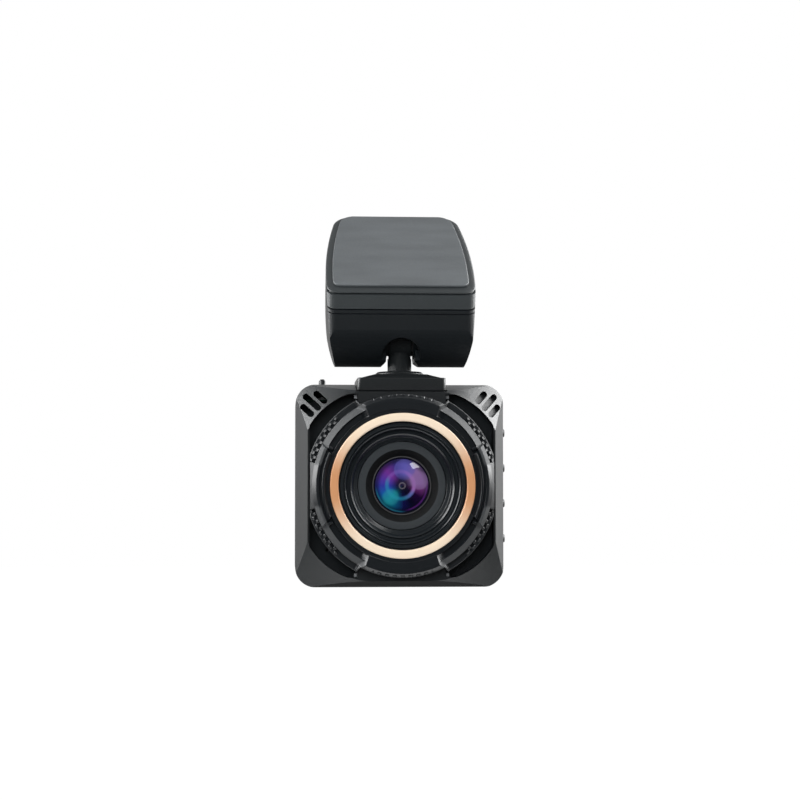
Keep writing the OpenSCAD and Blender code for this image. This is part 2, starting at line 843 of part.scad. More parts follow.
module pad_outline() {
    front_u = pad_front_r - pad_len / 2;
    rear_u = pad_len / 2 - pad_rear_r;
    polygon(with_mirror(concat(
        arc([plan_half(front_u, pad_inset) - pad_front_r, front_u], pad_front_r, -90, -10, 8),
        plan_side(pad_inset, front_u, rear_u),
        arc([plan_half(rear_u, pad_inset) - pad_rear_r, rear_u], pad_rear_r, 10, 90, 8))));
}

module adhesive_pad() {
    color("#707578") row_frame() slope_layer(-pad_t, 0) pad_outline();
}

module slope_cut(n0, n1) {
    slope_layer(n0, n1) square([4 * head_w, 6 * head_w], center = true);
}

module head_screw_holes(r, n0, n1) {
    slope_layer(n0, n1) both_sides() for (at = head_screw_at) translate(at) circle(r);
}

module head_top_plate() {
    color("#3b3f41") row_frame() difference() {
        union() {
            intersection() {
                head_form(0);
                slope_cut(layer_seam_1, layer_plate);
            }
            intersection() {
                head_form(2.8);
                slope_cut(head_boss_top, layer_seam_1);
            }
        }
        head_screw_holes(pilot_r + 0.1, -10, 1);
        head_screw_holes(1.9, head_screw_seat, 1);
    }
}

module head_band() {
    color("#3e4243") row_frame() difference() {
        union() {
            intersection() {
                head_form(0);
                slope_cut(layer_seam_2, layer_band);
            }
            intersection() {
                head_form(0.6);
                slope_cut(layer_seam_2, layer_seam_1);
            }
        }
        intersection() {
            head_form(2.7);
            slope_cut(layer_seam_2 - 1, layer_seam_1 + 1);
        }
        head_screw_holes(head_boss_r + 0.1, -10, 1);
    }
}

// Fan through which the stem swings, as [y, z], from the hinge downwards, with room on both sides
module swing_fan(room) {
    hinge = [stem_y, hinge_z];
    up = tilt_up + 3;
    down = tilt_down + 6;
    up_side = hinge + room * [-cos(up), sin(up)];
    down_side = hinge + room * [cos(down), sin(down)];
    polygon([up_side, up_side + far * [-sin(up), -cos(up)], hinge + [0, -2 * far],
        down_side + far * [sin(down), -cos(down)], down_side]);
    translate(hinge) circle(knuckle_r + 0.4);
}

module head_lower_shell() {
    color("#2d3033") row_frame() difference() {
        union() {
            difference() {
                union() {
                    intersection() {
                        head_form(0);
                        union() {
                            slope_cut(-far, layer_line - line_w);
                            slope_cut(layer_line, layer_shell);
                        }
                    }
                    intersection() {
                        head_form(0.6);
                        slope_cut(-far, layer_seam_2);
                    }
                }
                head_form(shell_wall);
            }
            intersection() {
                head_form(0.8);
                union() {
                    head_screw_holes(head_boss_r, -14, head_boss_top);
                    both_sides() translate([bracket_screw_x, stem_y, 0])
                        cylinder(r = bracket_boss_r, h = bracket_bar_z);
                }
            }
        }
        along_x(-gap_half_w, gap_half_w) swing_fan(stem_r + 0.6);
        stem_arch();
        head_screw_holes(pilot_r, head_screw_seat - head_screw_len - 0.3, 1);
        both_sides() translate([bracket_screw_x, stem_y, bracket_bar_z - 6]) cylinder(r = pilot_r, h = far);
    }
}

// Round-topped opening in the front, and the flare along the slot's lower edges
module stem_arch() {
    along_y(-1, stem_y - 5) {
        translate([0, arch_top_z - arch_half_w]) circle(arch_half_w);
        translate([-arch_half_w, 0]) square([2 * arch_half_w, arch_top_z - arch_half_w]);
    }
    along_y(-1, far) polygon([[-gap_half_w, flare_z], [-arch_half_w, belly_z - belly_r - 0.1],
        [arch_half_w, belly_z - belly_r - 0.1], [gap_half_w, flare_z]]);
}

// Two cheeks, a bridge and a bar screwed to the shell: the stem's eye turns between the cheeks
module hinge_bracket() {
    outer = throat_half_w + cheek_t;
    bar_half = bracket_screw_x + bracket_boss_r;
    color("#232527") row_frame() difference() {
        intersection() {
            head_form(shell_wall + 0.1);
            union() {
                along_x(-outer, outer) {
                    translate([stem_y, hinge_z]) circle(cheek_r);
                    translate([stem_y - cheek_r, hinge_z]) square([2 * cheek_r, bracket_top_z - hinge_z]);
                }
                box_between([-bar_half, stem_y - 3, bracket_bar_z], [bar_half, stem_y + 3, bracket_top_z]);
            }
        }
        along_x(-throat_half_w, throat_half_w) {
            swing_fan(stem_r + 0.6);
            translate([stem_y - cheek_r - 1, hinge_z - cheek_r - 1])
                square([2 * cheek_r + 2, 2 * cheek_r + 1]);
        }
        along_x(-far, far) translate([stem_y, hinge_z]) circle(pin_r + 0.01);
        both_sides() translate([bracket_screw_x, stem_y, 0]) cylinder(r = pilot_r + 0.1, h = far);
    }
}

module bracket_screws() {
    color("#8d9093") row_frame() both_sides()
        translate([bracket_screw_x, stem_y, bracket_top_z]) screw(pilot_r, 8, 1.6, 1);
}

module hinge_pin() {
    color("#9b9ea1") row_frame() along_x(-throat_half_w - cheek_t, throat_half_w + cheek_t)
        translate([stem_y, hinge_z]) circle(pin_r);
}

module head_screws() {
    color("#55585b") row_frame() translate([0, pad_centre.x, pad_centre.y]) rotate([glass_slope, 0, 0])
        both_sides() for (at = head_screw_at)
            translate([at.x, at.y, head_screw_seat]) screw(pilot_r, head_screw_len, 1.7, 1);
}

adhesive_pad();
head_top_plate();
head_band();
head_lower_shell();
hinge_bracket();
bracket_screws();
hinge_pin();
friction_washers();
head_screws();
stem();
swivel_screw();
swivel_washer();
cradle();
front_housing();
rear_cover();
housing_screws();
mount_rail();
rail_screws();
lens_bezel();
accent_ring();
lens_hood();
lens_barrel();
front_lens();
middle_lens();
rear_lens();
aperture_stop();
lens_holder();
image_sensor();
sensor_board();
main_board();
board_screws();
heat_spreader();
battery();
speaker();
microphone();
usb_socket();
card_socket();
key_board();
power_board();
key_switches();
display_panel();
display_window();
side_key(1);  // side_key_1
side_key(2);  // side_key_2
side_key(3);  // side_key_3
side_key(4);  // side_key_4
power_key();
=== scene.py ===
"""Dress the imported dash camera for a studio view: a finish on every piece, finer forms of the lens, bezel,
plate and pad, and the stage."""

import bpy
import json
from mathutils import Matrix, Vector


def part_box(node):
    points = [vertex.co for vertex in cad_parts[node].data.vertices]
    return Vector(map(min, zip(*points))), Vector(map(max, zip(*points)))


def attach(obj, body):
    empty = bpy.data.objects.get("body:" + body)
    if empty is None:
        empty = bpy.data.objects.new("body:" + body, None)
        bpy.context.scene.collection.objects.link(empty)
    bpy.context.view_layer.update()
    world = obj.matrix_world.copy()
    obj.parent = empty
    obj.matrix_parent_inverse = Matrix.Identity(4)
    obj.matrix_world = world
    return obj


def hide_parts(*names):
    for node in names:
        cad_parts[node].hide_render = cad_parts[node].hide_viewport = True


bl_info = {
    "name": "Dash camera studio",
    "version": (1, 0, 0),
    "blender": (4, 5, 0),
    "location": "3D View > Sidebar > Dash camera",
    "description": "Finishes and turned pieces for the packed dash camera, with its studio",
    "category": "Object",
}

import json
import math

import bpy
import numpy as np
from bpy.props import FloatProperty, FloatVectorProperty, IntProperty, PointerProperty
from mathutils import Matrix, Vector

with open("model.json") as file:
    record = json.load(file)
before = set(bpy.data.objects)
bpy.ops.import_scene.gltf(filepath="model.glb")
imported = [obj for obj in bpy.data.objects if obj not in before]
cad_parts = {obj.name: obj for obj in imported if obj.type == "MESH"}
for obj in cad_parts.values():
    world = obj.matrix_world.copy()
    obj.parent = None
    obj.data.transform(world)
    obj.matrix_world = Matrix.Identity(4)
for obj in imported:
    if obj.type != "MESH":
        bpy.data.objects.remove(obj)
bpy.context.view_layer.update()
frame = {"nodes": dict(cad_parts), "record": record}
NODES = frame["nodes"]
PAD_AXIS = next(m["axis"] for m in frame["record"]["mounts"] if m["name"] == "windscreen_pad")

MM = 0.001
PHOTO_PX = 800
IOR = 1.5

# Sockets of a Mix node: A, B and the result, for numbers and for colours
MIX_NUMBERS = (2, 3, 0)
MIX_COLOURS = (6, 7, 2)

# Edges that modifiers round on CAD nodes
WELD_GAP = 0.002 * MM
FLAT_ANGLE = math.radians(0.4)
EDGE_ANGLE = math.radians(25.0)
EDGE_SEGMENTS = 2

# The lens axis runs along Y through this point, at the front edge of the housing.
HOOD_LOW, HOOD_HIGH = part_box("lens_hood")
LENS_X = (HOOD_LOW.x + HOOD_HIGH.x) / 2
LENS_Z = (HOOD_LOW.z + HOOD_HIGH.z) / 2
FRONT_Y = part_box("front_housing")[0].y


def lens_point(x, y, z):
    """A point given in millimetres from the lens axis at the housing's front edge, in the row frame."""
    return Vector((LENS_X + x * MM, FRONT_Y + y * MM, LENS_Z + z * MM))


# Shader expressions


class Value:
    """A shader socket in Python arithmetic: each operator adds one Math node."""

    def __init__(self, shader, socket):
        self.shader = shader
        self.socket = socket

    def math(self, operation, *others):
        return self.shader.node("ShaderNodeMath", {"operation": operation}, [self, *others])

    def __add__(self, other):
        return self.math("ADD", other)

    __radd__ = __add__

    def __sub__(self, other):
        return self.math("SUBTRACT", other)

    def __rsub__(self, other):
        return self.shader.node("ShaderNodeMath", {"operation": "SUBTRACT"}, [other, self])

    def __mul__(self, other):
        return self.math("MULTIPLY", other)

    __rmul__ = __mul__

    def __truediv__(self, other):
        return self.math("DIVIDE", other)

    def __pow__(self, other):
        return self.math("POWER", other)

    def abs(self):
        return self.math("ABSOLUTE")

    def up_to(self, other):
        return self.math("MINIMUM", other)

    def at_least(self, other):
        return self.math("MAXIMUM", other)

    def step(self, low, high):
        """Smooth rise from 0 at low to 1 at high; it falls where low is above high."""
        if low > high:
            return 1 - self.step(high, low)
        return self.shader.ramp(self, low, high, 0.0, 1.0, "SMOOTHSTEP")


def length(a, b):
    """Length of a vector with these two components."""
    return (a * a + b * b) ** 0.5


def opaque(color):
    """A colour with full alpha; a shader value passes through."""
    return color if isinstance(color, Value) else tuple(color)[:3] + (1.0,)


class Shader:
    """A node tree that is built from expressions."""

    def __init__(self, tree):
        self.tree = tree

    def node(self, kind, settings=None, sockets=(), out=0):
        """Add a node: its settings first, then the values or links of its sockets."""
        made = self.tree.nodes.new(kind)
        for key, value in (settings or {}).items():
            if key == "stops":
                self.set_stops(made.color_ramp, value)
            else:
                setattr(made, key, value)
        pairs = sockets.items() if isinstance(sockets, dict) else enumerate(sockets)
        for key, value in pairs:
            self.link(made.inputs[key], value)
        return Value(self, made.outputs[out])

    @staticmethod
    def set_stops(ramp, stops):
        """Give a colour ramp these (place, colour) stops."""
        while len(ramp.elements) < len(stops):
            ramp.elements.new(1.0)
        for element, (place, color) in zip(ramp.elements, stops):
            element.position = place
            element.color = opaque(color)

    def link(self, socket, value):
        if isinstance(value, Value):
            self.tree.links.new(value.socket, socket)
        else:
            socket.default_value = value

    def axes(self, vector):
        """The three components of a vector."""
        return [self.node("ShaderNodeSeparateXYZ", None, [vector], axis) for axis in "XYZ"]

    def ray(self, kind):
        """1 for rays of this kind, by the name of the Light Path node's output."""
        return self.node("ShaderNodeLightPath", out=kind)

    def ramp(self, value, low, high, start, end, form="LINEAR"):
        """Rise from start, where the value is low, to end, where it is high; level beyond."""
        ends = {"Value": value, "From Min": low, "From Max": high, "To Min": start, "To Max": end}
        return self.node("ShaderNodeMapRange", {"interpolation_type": form, "clamp": True}, ends)

    def blend(self, factor, low, high):
        """Blend of two numbers by a factor."""
        a, b, out = MIX_NUMBERS
        return self.node("ShaderNodeMix", None, {"Factor": factor, a: low, b: high}, out)

    def mix(self, factor, low, high):
        """Blend of two colours by a factor."""
        a, b, out = MIX_COLOURS
        sockets = {"Factor": factor, a: opaque(low), b: opaque(high)}
        return self.node("ShaderNodeMix", {"data_type": "RGBA"}, sockets, out)


class Finish(Shader):
    """One procedural material, with the expressions that drive its Principled shader."""

    def __init__(self, name, color, roughness, metallic=0.0, coat=0.0, coat_roughness=0.05):
        self.material = bpy.data.materials.new(name)
        self.material.use_nodes = True
        super().__init__(self.material.node_tree)
        self.shader = self.tree.nodes["Principled BSDF"]
        self.color = tuple(color)[:3]
        self.put("Base Color", opaque(color))
        self.put("Roughness", roughness)
        self.put("Metallic", metallic)
        self.put("Coat Weight", coat)
        self.put("Coat Roughness", coat_roughness)
        self.put("IOR", IOR)

    def put(self, name, value):
        self.link(self.shader.inputs[name], value)

    def coords(self):
        """The piece's own coordinates, in metres in the row frame."""
        return self.node("ShaderNodeTexCoord", out="Object")

    def lens_axes(self):
        """x, y, z from the lens axis in millimetres, and the radius about that axis."""
        origin = (LENS_X, FRONT_Y, LENS_Z)
        middle = self.node("ShaderNodeVectorMath", {"operation": "SUBTRACT"}, [self.coords(), origin])
        sockets = {"Vector": middle, "Scale": 1 / MM}
        scaled = self.node("ShaderNodeVectorMath", {"operation": "SCALE"}, sockets)
        x, y, z = self.axes(scaled)
        return x, y, z, length(x, z)

    def noise(self, scale, detail=3.0, stretch=(1.0, 1.0, 1.0)):
        """Noise of about 0 to 1, with its grain in cells per metre, stretched along the axes."""
        mapped = self.node("ShaderNodeMapping", None, {"Vector": self.coords(), "Scale": stretch})
        sockets = {"Vector": mapped, "Scale": scale, "Detail": detail}
        return self.node("ShaderNodeTexNoise", None, sockets, "Fac")

    def rings(self, r, scale, detail):
        """Turning marks: noise over the radius alone, in cells per millimetre."""
        sockets = {"W": r, "Scale": scale, "Detail": detail}
        return self.node("ShaderNodeTexNoise", {"noise_dimensions": "1D"}, sockets, "Fac")

    def scratches(self):
        """Short scratches along one way."""
        return self.noise(900.0, 2.0, (1.0, 1.0, 12.0))

    def tones(self, factor, dark=0.92, light=1.08):
        """A colour between two multiples of this finish's own."""
        return self.mix(factor, [dark * c for c in self.color], [light * c for c in self.color])

    def disc(self, x, z, centre, radius, soft):
        """Soft-edged disc on the front view: 1 inside the radius, 0 beyond it."""
        return length(x - centre[0], z - centre[1]).step(radius + soft, radius - soft)

    def grain(self, height, depth, strength):
        """Bump of that depth in metres."""
        sockets = {"Strength": strength, "Distance": depth, "Height": height}
        self.put("Normal", self.node("ShaderNodeBump", None, sockets, "Normal"))

    def moulded(self, strength=0.35):
        """Put on a fine spark-eroded grain, and give the broad noise that varies gloss and tone."""
        self.grain(self.noise(5200.0, 2.0), 0.06 * MM, strength)
        return self.noise(70.0)


def moulded_plastic(name, color, roughness):
    """Moulded plastic: a fine grain, with slightly uneven gloss and tone."""
    finish = Finish(name, color, roughness)
    broad = finish.moulded()
    finish.put("Base Color", finish.tones(broad))
    finish.put("Roughness", roughness - 0.05 + 0.1 * broad)
    return finish.material


def plain_metal(name, color, roughness):
    """Machined or plated metal with short scratches."""
    finish = Finish(name, color, roughness, metallic=1.0)
    lines = finish.scratches()
    finish.put("Base Color", finish.tones(lines, 0.85, 1.1))
    finish.put("Roughness", roughness - 0.08 + 0.16 * lines)
    return finish.material


# Shapes worked out with numpy


def grid_faces(rows, columns, wrap_rows, wrap_columns):
    """Quads of a grid of points in row order, closed in either direction where it wraps."""
    i, j = np.meshgrid(
        np.arange(rows if wrap_rows else rows - 1),
        np.arange(columns if wrap_columns else columns - 1),
        indexing="ij",
    )
    i2, j2 = (i + 1) % rows, (j + 1) % columns
    quads = np.stack([i * columns + j, i * columns + j2, i2 * columns + j2, i2 * columns + j], axis=-1)
    return quads.reshape(-1, 4).tolist()


def new_piece(name, points, faces, body, material):
    """A smooth closed piece at the origin that rides on a body, with its finish."""
    mesh = bpy.data.meshes.new(name)
    mesh.from_pydata(points.reshape(-1, 3), [], faces)
    mesh.validate()
    mesh.polygons.foreach_set("use_smooth", np.full(len(mesh.polygons), True))
    mesh.materials.append(material)
    turn_outwards(mesh)
    piece = bpy.data.objects.new(name, mesh)
    bpy.context.scene.collection.objects.link(piece)
    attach(piece, body)
    return piece


def turn_outwards(mesh):
    """Turn the faces of a closed mesh outwards, by the sign of the volume that they enclose."""
    mesh.calc_loop_triangles()
    corners = np.empty(len(mesh.vertices) * 3)
    mesh.vertices.foreach_get("co", corners)
    index = np.empty(len(mesh.loop_triangles) * 3, np.int32)
    mesh.loop_triangles.foreach_get("vertices", index)
    a, b, c = corners.reshape(-1, 3)[index.reshape(-1, 3)].transpose(1, 0, 2)
    if np.einsum("ij,ij->i", a, np.cross(b, c)).sum() < 0:
        mesh.flip_normals()


def rounded_loop(corners, radius):
    """A closed outline whose corners are cut by short curves: at each corner the point runs from one
    side to the other on the parabola with that corner as its handle."""
    steps, most = 4, 0.45
    corners = np.asarray(corners, float)
    before = np.roll(corners, 1, axis=0) - corners
    after = np.roll(corners, -1, axis=0) - corners
    before_len = np.linalg.norm(before, axis=1, keepdims=True)
    after_len = np.linalg.norm(after, axis=1, keepdims=True)
    reach = np.minimum(radius, most * np.minimum(before_len, after_len))
    start = corners + before / before_len * reach
    end = corners + after / after_len * reach
    t = np.linspace(0.0, 1.0, steps)[None, :, None]
    curve = (1 - t) ** 2 * start[:, None] + 2 * t * (1 - t) * corners[:, None] + t**2 * end[:, None]
    return curve.reshape(-1, 2)


def rise(x, low, high):
    """Smooth rise from 0 at low to 1 at high, with a level start and end."""
    t = np.clip((x - low) / (high - low), 0.0, 1.0)
    return t * t * (3.0 - 2.0 * t)


def span(x, low, high, soft):
    """1 between low and high, falling to 0 over the soft width about each."""
    return rise(x, low - soft, low + soft) * (1.0 - rise(x, high - soft, high + soft))


def full_turn(around):
    """Angles of one turn, as a column."""
    return np.linspace(0.0, 2.0 * np.pi, around, endpoint=False)[:, None]


def about_lens(radius, y, angle):
    """Points at those radii, depths and angles about the lens axis, given in millimetres: the point at
    angle a is (radius cos a, y, radius sin a)."""
    points = np.stack([radius * np.cos(angle), y + 0.0 * angle, radius * np.sin(angle)], axis=-1)
    return points * MM + np.array(lens_point(0, 0, 0))


def turned(profile, around, closed=True):
    """A profile of [radius, y] turned once about the lens axis: a closed loop, or a line that starts and ends
    close to the axis, with a flat face at each end."""
    count = len(profile)
    points = about_lens(profile[:, 0][None, :], profile[:, 1][None, :], full_turn(around))
    faces = grid_faces(around, count, True, closed)
    if not closed:
        ring = np.arange(around) * count
        faces += [ring.tolist(), (ring + count - 1)[::-1].tolist()]
    return points, faces


def soften(node, width):
    """Join a CAD node's triangles into its flat faces and round its edges, as modifiers."""
    piece = NODES[node]
    weld = piece.modifiers.new("join", "WELD")
    weld.merge_threshold = WELD_GAP
    flat = piece.modifiers.new("flats", "DECIMATE")
    flat.decimate_type = "DISSOLVE"
    flat.angle_limit = FLAT_ANGLE
    bevel = piece.modifiers.new("edges", "BEVEL")
    bevel.width = width * MM
    bevel.segments = EDGE_SEGMENTS
    bevel.limit_method = "ANGLE"
    bevel.angle_limit = EDGE_ANGLE
    bevel.harden_normals = True
    bevel.use_clamp_overlap = True


def dress(material, *nodes):
    """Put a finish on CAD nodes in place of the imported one."""
    for node in nodes:
        slots = NODES[node].material_slots
        slots[0].link = "OBJECT"
        slots[0].material = material


# Settings that a user would change


def colour(name, description, default):
    """A colour setting, in linear values."""
    return FloatVectorProperty(
        name=name, description=description, subtype="COLOR", size=3, min=0.0, max=1.0, default=default
    )


class DashcamColours(bpy.types.PropertyGroup):
    """Colours of the finishes, as linear values; some of them are painted shade, painted sheen and painted
    reflections.
    """

    housing: colour("Housing", "Charcoal plastic of the camera housing", (0.020, 0.0235, 0.0255))
    head: colour("Mount head", "Plastic of the mount head", (0.029, 0.0345, 0.037))
    # Part of the shell's darkness beyond the head's is painted shade of its down-facing belly
    shell: colour("Lower shell", "Darker plastic of the mount head's lower shell", (0.0054, 0.0078, 0.0098))
    bezel: colour("Bezel", "Black plastic of the bezel ring", (0.0088, 0.0110, 0.0132))
    # Painted sheen: the paler tone of the bezel's sloping bands stands in for their reflection
    bezel_painted_sheen: colour("Bezel, pale", "Sloping bands of the bezel ring", (0.0460, 0.0500, 0.0530))
    copper: colour("Copper ring", "Spun metal ring at its left and right", (0.66, 0.312, 0.142))
    # Painted sheen: the pale tone at the copper ring's top and bottom stands in for the highlight of spun
    # metal
    copper_painted_sheen: colour("Copper ring, pale", "Spun metal ring at its top and bottom", (1.0, 0.835, 0.64))
    # Painted reflections: the coating colours stand in for what the coating and the inner lenses reflect
    coat_reflection_violet: colour("Coating, violet", "Upper patch of the lens coating", (0.095, 0.085, 0.36))
    coat_reflection_purple: colour("Coating, purple", "Left patch and right edge of the coating", (0.130, 0.024, 0.235))
    coat_reflection_indigo: colour("Coating, indigo", "Far left patch of the lens coating", (0.026, 0.034, 0.31))
    coat_reflection_teal: colour("Coating, teal", "Lower left patch of the lens coating", (0.002, 0.225, 0.300))
    coat_reflection_mauve: colour("Coating, mauve", "Right patch of the lens coating", (0.215, 0.115, 0.300))
    coat_reflection_lilac: colour("Coating, lilac", "Ring round the pupil of the lens", (0.370, 0.150, 0.480))
    pad: colour("Adhesive pad", "Liner of the adhesive pad", (0.108, 0.120, 0.128))


class DashcamStudio(bpy.types.PropertyGroup):
    """Camera and light of the studio."""

    distance: FloatProperty(
        name="Camera distance", description="Distance from the housing's front edge",
        subtype="DISTANCE", unit="LENGTH", default=0.440, min=0.1,
    )
    aside: FloatProperty(
        name="Camera offset", description="How far the camera stands to the left of the lens axis",
        subtype="DISTANCE", unit="LENGTH", default=0.028,
    )
    focal_px: FloatProperty(
        name="Focal length", description="Focal length in pixels of the square picture",
        default=1800.0, min=100.0,
    )
    lens_px: FloatVectorProperty(
        name="Lens place", description="Where the lens axis meets the picture, in pixels from its top left",
        size=2, default=(401.9, 485.7),
    )
    floor_drop: FloatProperty(
        name="Floor drop", description="How far the floor lies below the lens axis",
        subtype="DISTANCE", unit="LENGTH", default=0.20, min=0.03,
    )
    around: IntProperty(
        name="Turning steps", description="Points round each turned piece", default=256, min=48, max=512,
    )


def colours():
    return bpy.context.scene.dashcam_colours


def studio():
    return bpy.context.scene.dashcam_studio


# Operators, one for each piece or group of like pieces


class DASHCAM_OT_stage(bpy.types.Operator):
    """Make the camera, the lamps, the world and the floor"""

    bl_idname = "dashcam.stage"
    bl_label = "Studio stage"

    sensor_mm, clip_start = 36.0, 0.01

    # Area lamps: name, place from the lens, size, power in watts, and the rays that don't see the lamp.
    # low_box stays just in front of the axis, which keeps its long side level.
    boxes = (
        ("key_box", (0.335, -0.285, 0.420), (0.29, 0.14), 0.60, None),
        ("front_fill", (-0.20, -0.75, 0.30), (0.50, 0.50), 5.2, "visible_glossy"),
        ("back_fill", (0.30, 0.75, 0.35), (0.50, 0.50), 5.0, "visible_glossy"),
        ("right_box", (0.46, 0.10, 0.25), (0.45, 0.42), 8.0, "visible_diffuse"),
        ("left_box", (-0.46, 0.00, 0.19), (0.45, 0.42), 6.0, "visible_diffuse"),
        ("low_box", (0.0, -0.012, -0.17), (0.46, 0.07), 0.30, "visible_diffuse"),
        ("high_box", (0.0, -0.10, 0.30), (0.30, 0.12), 0.05, "visible_diffuse"),
    )

    # Strength of the world: even light, the dimmest reflection, and how far it turns from behind to the right
    even_light, dim, to_right = 0.35, 0.06, 0.55
    behind, above = (-0.35, 1.05), (-0.30, 0.05)

    floor_half, paper, paper_glow, glow_share = 4.0, (0.4, 0.4, 0.4), 1.15, 0.86

    def execute(self, context):
        self.camera(context)
        self.lamps(context)
        self.world(context)
        self.floor(context)
        context.scene.view_settings.view_transform = "Standard"
        return {"FINISHED"}

    def camera(self, context):
        """The camera stands level with the lens axis and is tilted up, as in the photograph."""
        s = studio()
        data = bpy.data.cameras.new("photo_camera")
        data.sensor_width = self.sensor_mm
        data.lens = s.focal_px * data.sensor_width / PHOTO_PX
        data.clip_start = self.clip_start
        camera = bpy.data.objects.new("photo_camera", data)
        context.scene.collection.objects.link(camera)
        side, down = s.lens_px[0] - PHOTO_PX / 2, s.lens_px[1] - PHOTO_PX / 2
        yaw = -(math.atan2(s.aside, s.distance) - math.atan2(side, s.focal_px))
        pitch = math.pi / 2 + math.atan2(down, s.focal_px)
        place = lens_point(-s.aside / MM, -s.distance / MM, 0)
        turn = Matrix.Rotation(yaw, 4, "Z") @ Matrix.Rotation(pitch, 4, "X")
        camera.matrix_world = Matrix.Translation(place) @ turn
        context.scene.camera = camera

    def lamps(self, context):
        """A small box at the upper right in front, fills before and behind that give no reflections,
        and boxes at each side, above and below that only reflections show. All of them face the lens."""
        aim = lens_point(0, 0, 0)
        for name, offset, size, power, unseen_by in self.boxes:
            data = bpy.data.lights.new(name, "AREA")
            data.shape = "RECTANGLE"
            data.size, data.size_y = size
            data.energy = power
            lamp = bpy.data.objects.new(name, data)
            context.scene.collection.objects.link(lamp)
            lamp.location = aim + Vector(offset)
            lamp.rotation_euler = (aim - lamp.location).to_track_quat("-Z", "Y").to_euler()
            if unseen_by:
                setattr(lamp, unseen_by, False)

    def world(self, context):
        """White to the camera and, behind the object and to its right, to reflections; a low even light for
        the rest."""
        world = bpy.data.worlds.new("studio_world")
        context.scene.world = world
        world.use_nodes = True
        sky = Shader(world.node_tree)
        x, y, z = sky.axes(sky.node("ShaderNodeTexCoord", out="Generated"))
        bright = sky.ramp(y + self.to_right * x, *self.behind, self.dim, 1.0)
        bright = bright * sky.ramp(z, *self.above, self.dim, 1.0)
        mirrored = sky.ray("Is Glossy Ray").at_least(sky.ray("Is Transmission Ray"))
        seen = sky.blend(mirrored, self.even_light, bright)
        background = world.node_tree.nodes["Background"].inputs
        sky.link(background["Color"], opaque((1.0, 1.0, 1.0)))
        sky.link(background["Strength"], sky.blend(sky.ray("Is Camera Ray"), seen, 1.0))

    def floor(self, context):
        """A wide pale floor that shows white and keeps the object's soft shadow."""
        half = self.floor_half
        corners = np.array([(-half, -half, 0), (half, -half, 0), (half, half, 0), (-half, half, 0)])
        mesh = bpy.data.meshes.new("floor")
        mesh.from_pydata(corners, [], [(0, 1, 2, 3)])
        floor = bpy.data.objects.new("floor", mesh)
        floor.location = (0.0, 0.0, LENS_Z - studio().floor_drop)
        context.scene.collection.objects.link(floor)
        finish = Finish("floor_paper", self.paper, 0.9)
        seen = finish.ray("Is Camera Ray").at_least(finish.ray("Is Transmission Ray"))
        glow = finish.node("ShaderNodeEmission", None, {"Strength": self.paper_glow})
        paper = Value(finish, finish.shader.outputs[0])
        surface = finish.node("ShaderNodeMixShader", None, [seen * self.glow_share, paper, glow])
        finish.link(finish.tree.nodes["Material Output"].inputs["Surface"], surface)
        mesh.materials.append(finish.material)
        floor.visible_glossy = False


class DASHCAM_OT_housing(bpy.types.Operator):
    """Finish the camera housing, its cover, the keys and the cradle"""

    bl_idname = "dashcam.housing"
    bl_label = "Housing, keys and cradle"

    keys = [f"side_key_{i}" for i in range(1, 5)] + ["power_key"]
    # Painted shade for the slot floors and the trench's front edge, painted shade in the trench, and a
    # painted glint on its stops
    slot_black, trench_black, stop_grey = (0.006, 0.007, 0.008), (0.010, 0.0122, 0.0140), (0.20, 0.21, 0.22)

    # Axis of the cone at each corner, its radius at the front edge and its slope, as in the CAD
    cone_x, cone_z, cone_r, cone_slope = 7.0, 5.2, 18.1, 1.214
    diagonal, slots_off = 0.7071, 0.99

    def execute(self, context):
        c = colours()
        dress(self.charcoal(), "front_housing", "rear_cover")
        dress(moulded_plastic("key_plastic", [0.9 * v for v in c.housing], 0.40), *self.keys)
        dress(moulded_plastic("cradle_plastic", [0.62 * v for v in c.housing], 0.40), "cradle", "mount_rail")
        soften("rear_cover", 0.3)
        soften("cradle", 0.3)
        for key in self.keys:
            soften(key, 0.18)
        return {"FINISHED"}

    def charcoal(self):
        """Charcoal plastic with a moulded grain: painted shade in the trench round the bezel and on the front
        edge beside it, duller floors of the sound slots that also carry painted shade, and a painted glint on
        the small stops of the trench."""
        finish = Finish("charcoal_plastic", colours().housing, 0.44)
        x, y, z, _ = finish.lens_axes()
        x, z = x.abs(), z.abs()
        corner = length((x - self.cone_x).at_least(0.0), (z - self.cone_z).at_least(0.0))
        # Painted shade in the trench round the bezel and on its front edge
        trench = corner.step(18.42, 18.3) * x.step(22.75, 22.6) * z.step(22.55, 22.4) * y.step(0.05, 0.2)
        edge = y.step(0.25, 0.1) * corner.step(18.6, 18.2)
        # Painted glint: the small stops of the trench are paled
        stops = x.step(10.9, 11.0) * x.step(11.7, 11.6) * z.step(21.3, 21.5) * z.step(22.3, 22.1)
        stops = stops * y.step(0.9, 1.0) * y.step(2.4, 2.2)
        along, across = (x + z) * self.diagonal, (z - x) * self.diagonal + self.slots_off
        under = y - self.cone_slope * (corner - self.cone_r)
        # Painted shade on the floors of the sound slots, which are also duller
        slots = under.step(0.1, 0.3) * along.step(26.9, 27.1) * along.step(33.3, 33.1) * y.step(9.0, 8.8)
        slots = slots * across.abs().step(3.3, 3.15)
        broad = finish.moulded()
        tone = finish.mix(0.6 * edge + 0.7 * slots, finish.tones(broad), self.slot_black)
        tone = finish.mix(trench, tone, self.trench_black)
        finish.put("Base Color", finish.mix(stops, tone, self.stop_grey))
        finish.put("Roughness", 0.39 + 0.1 * broad + 0.16 * slots)
        return finish.material


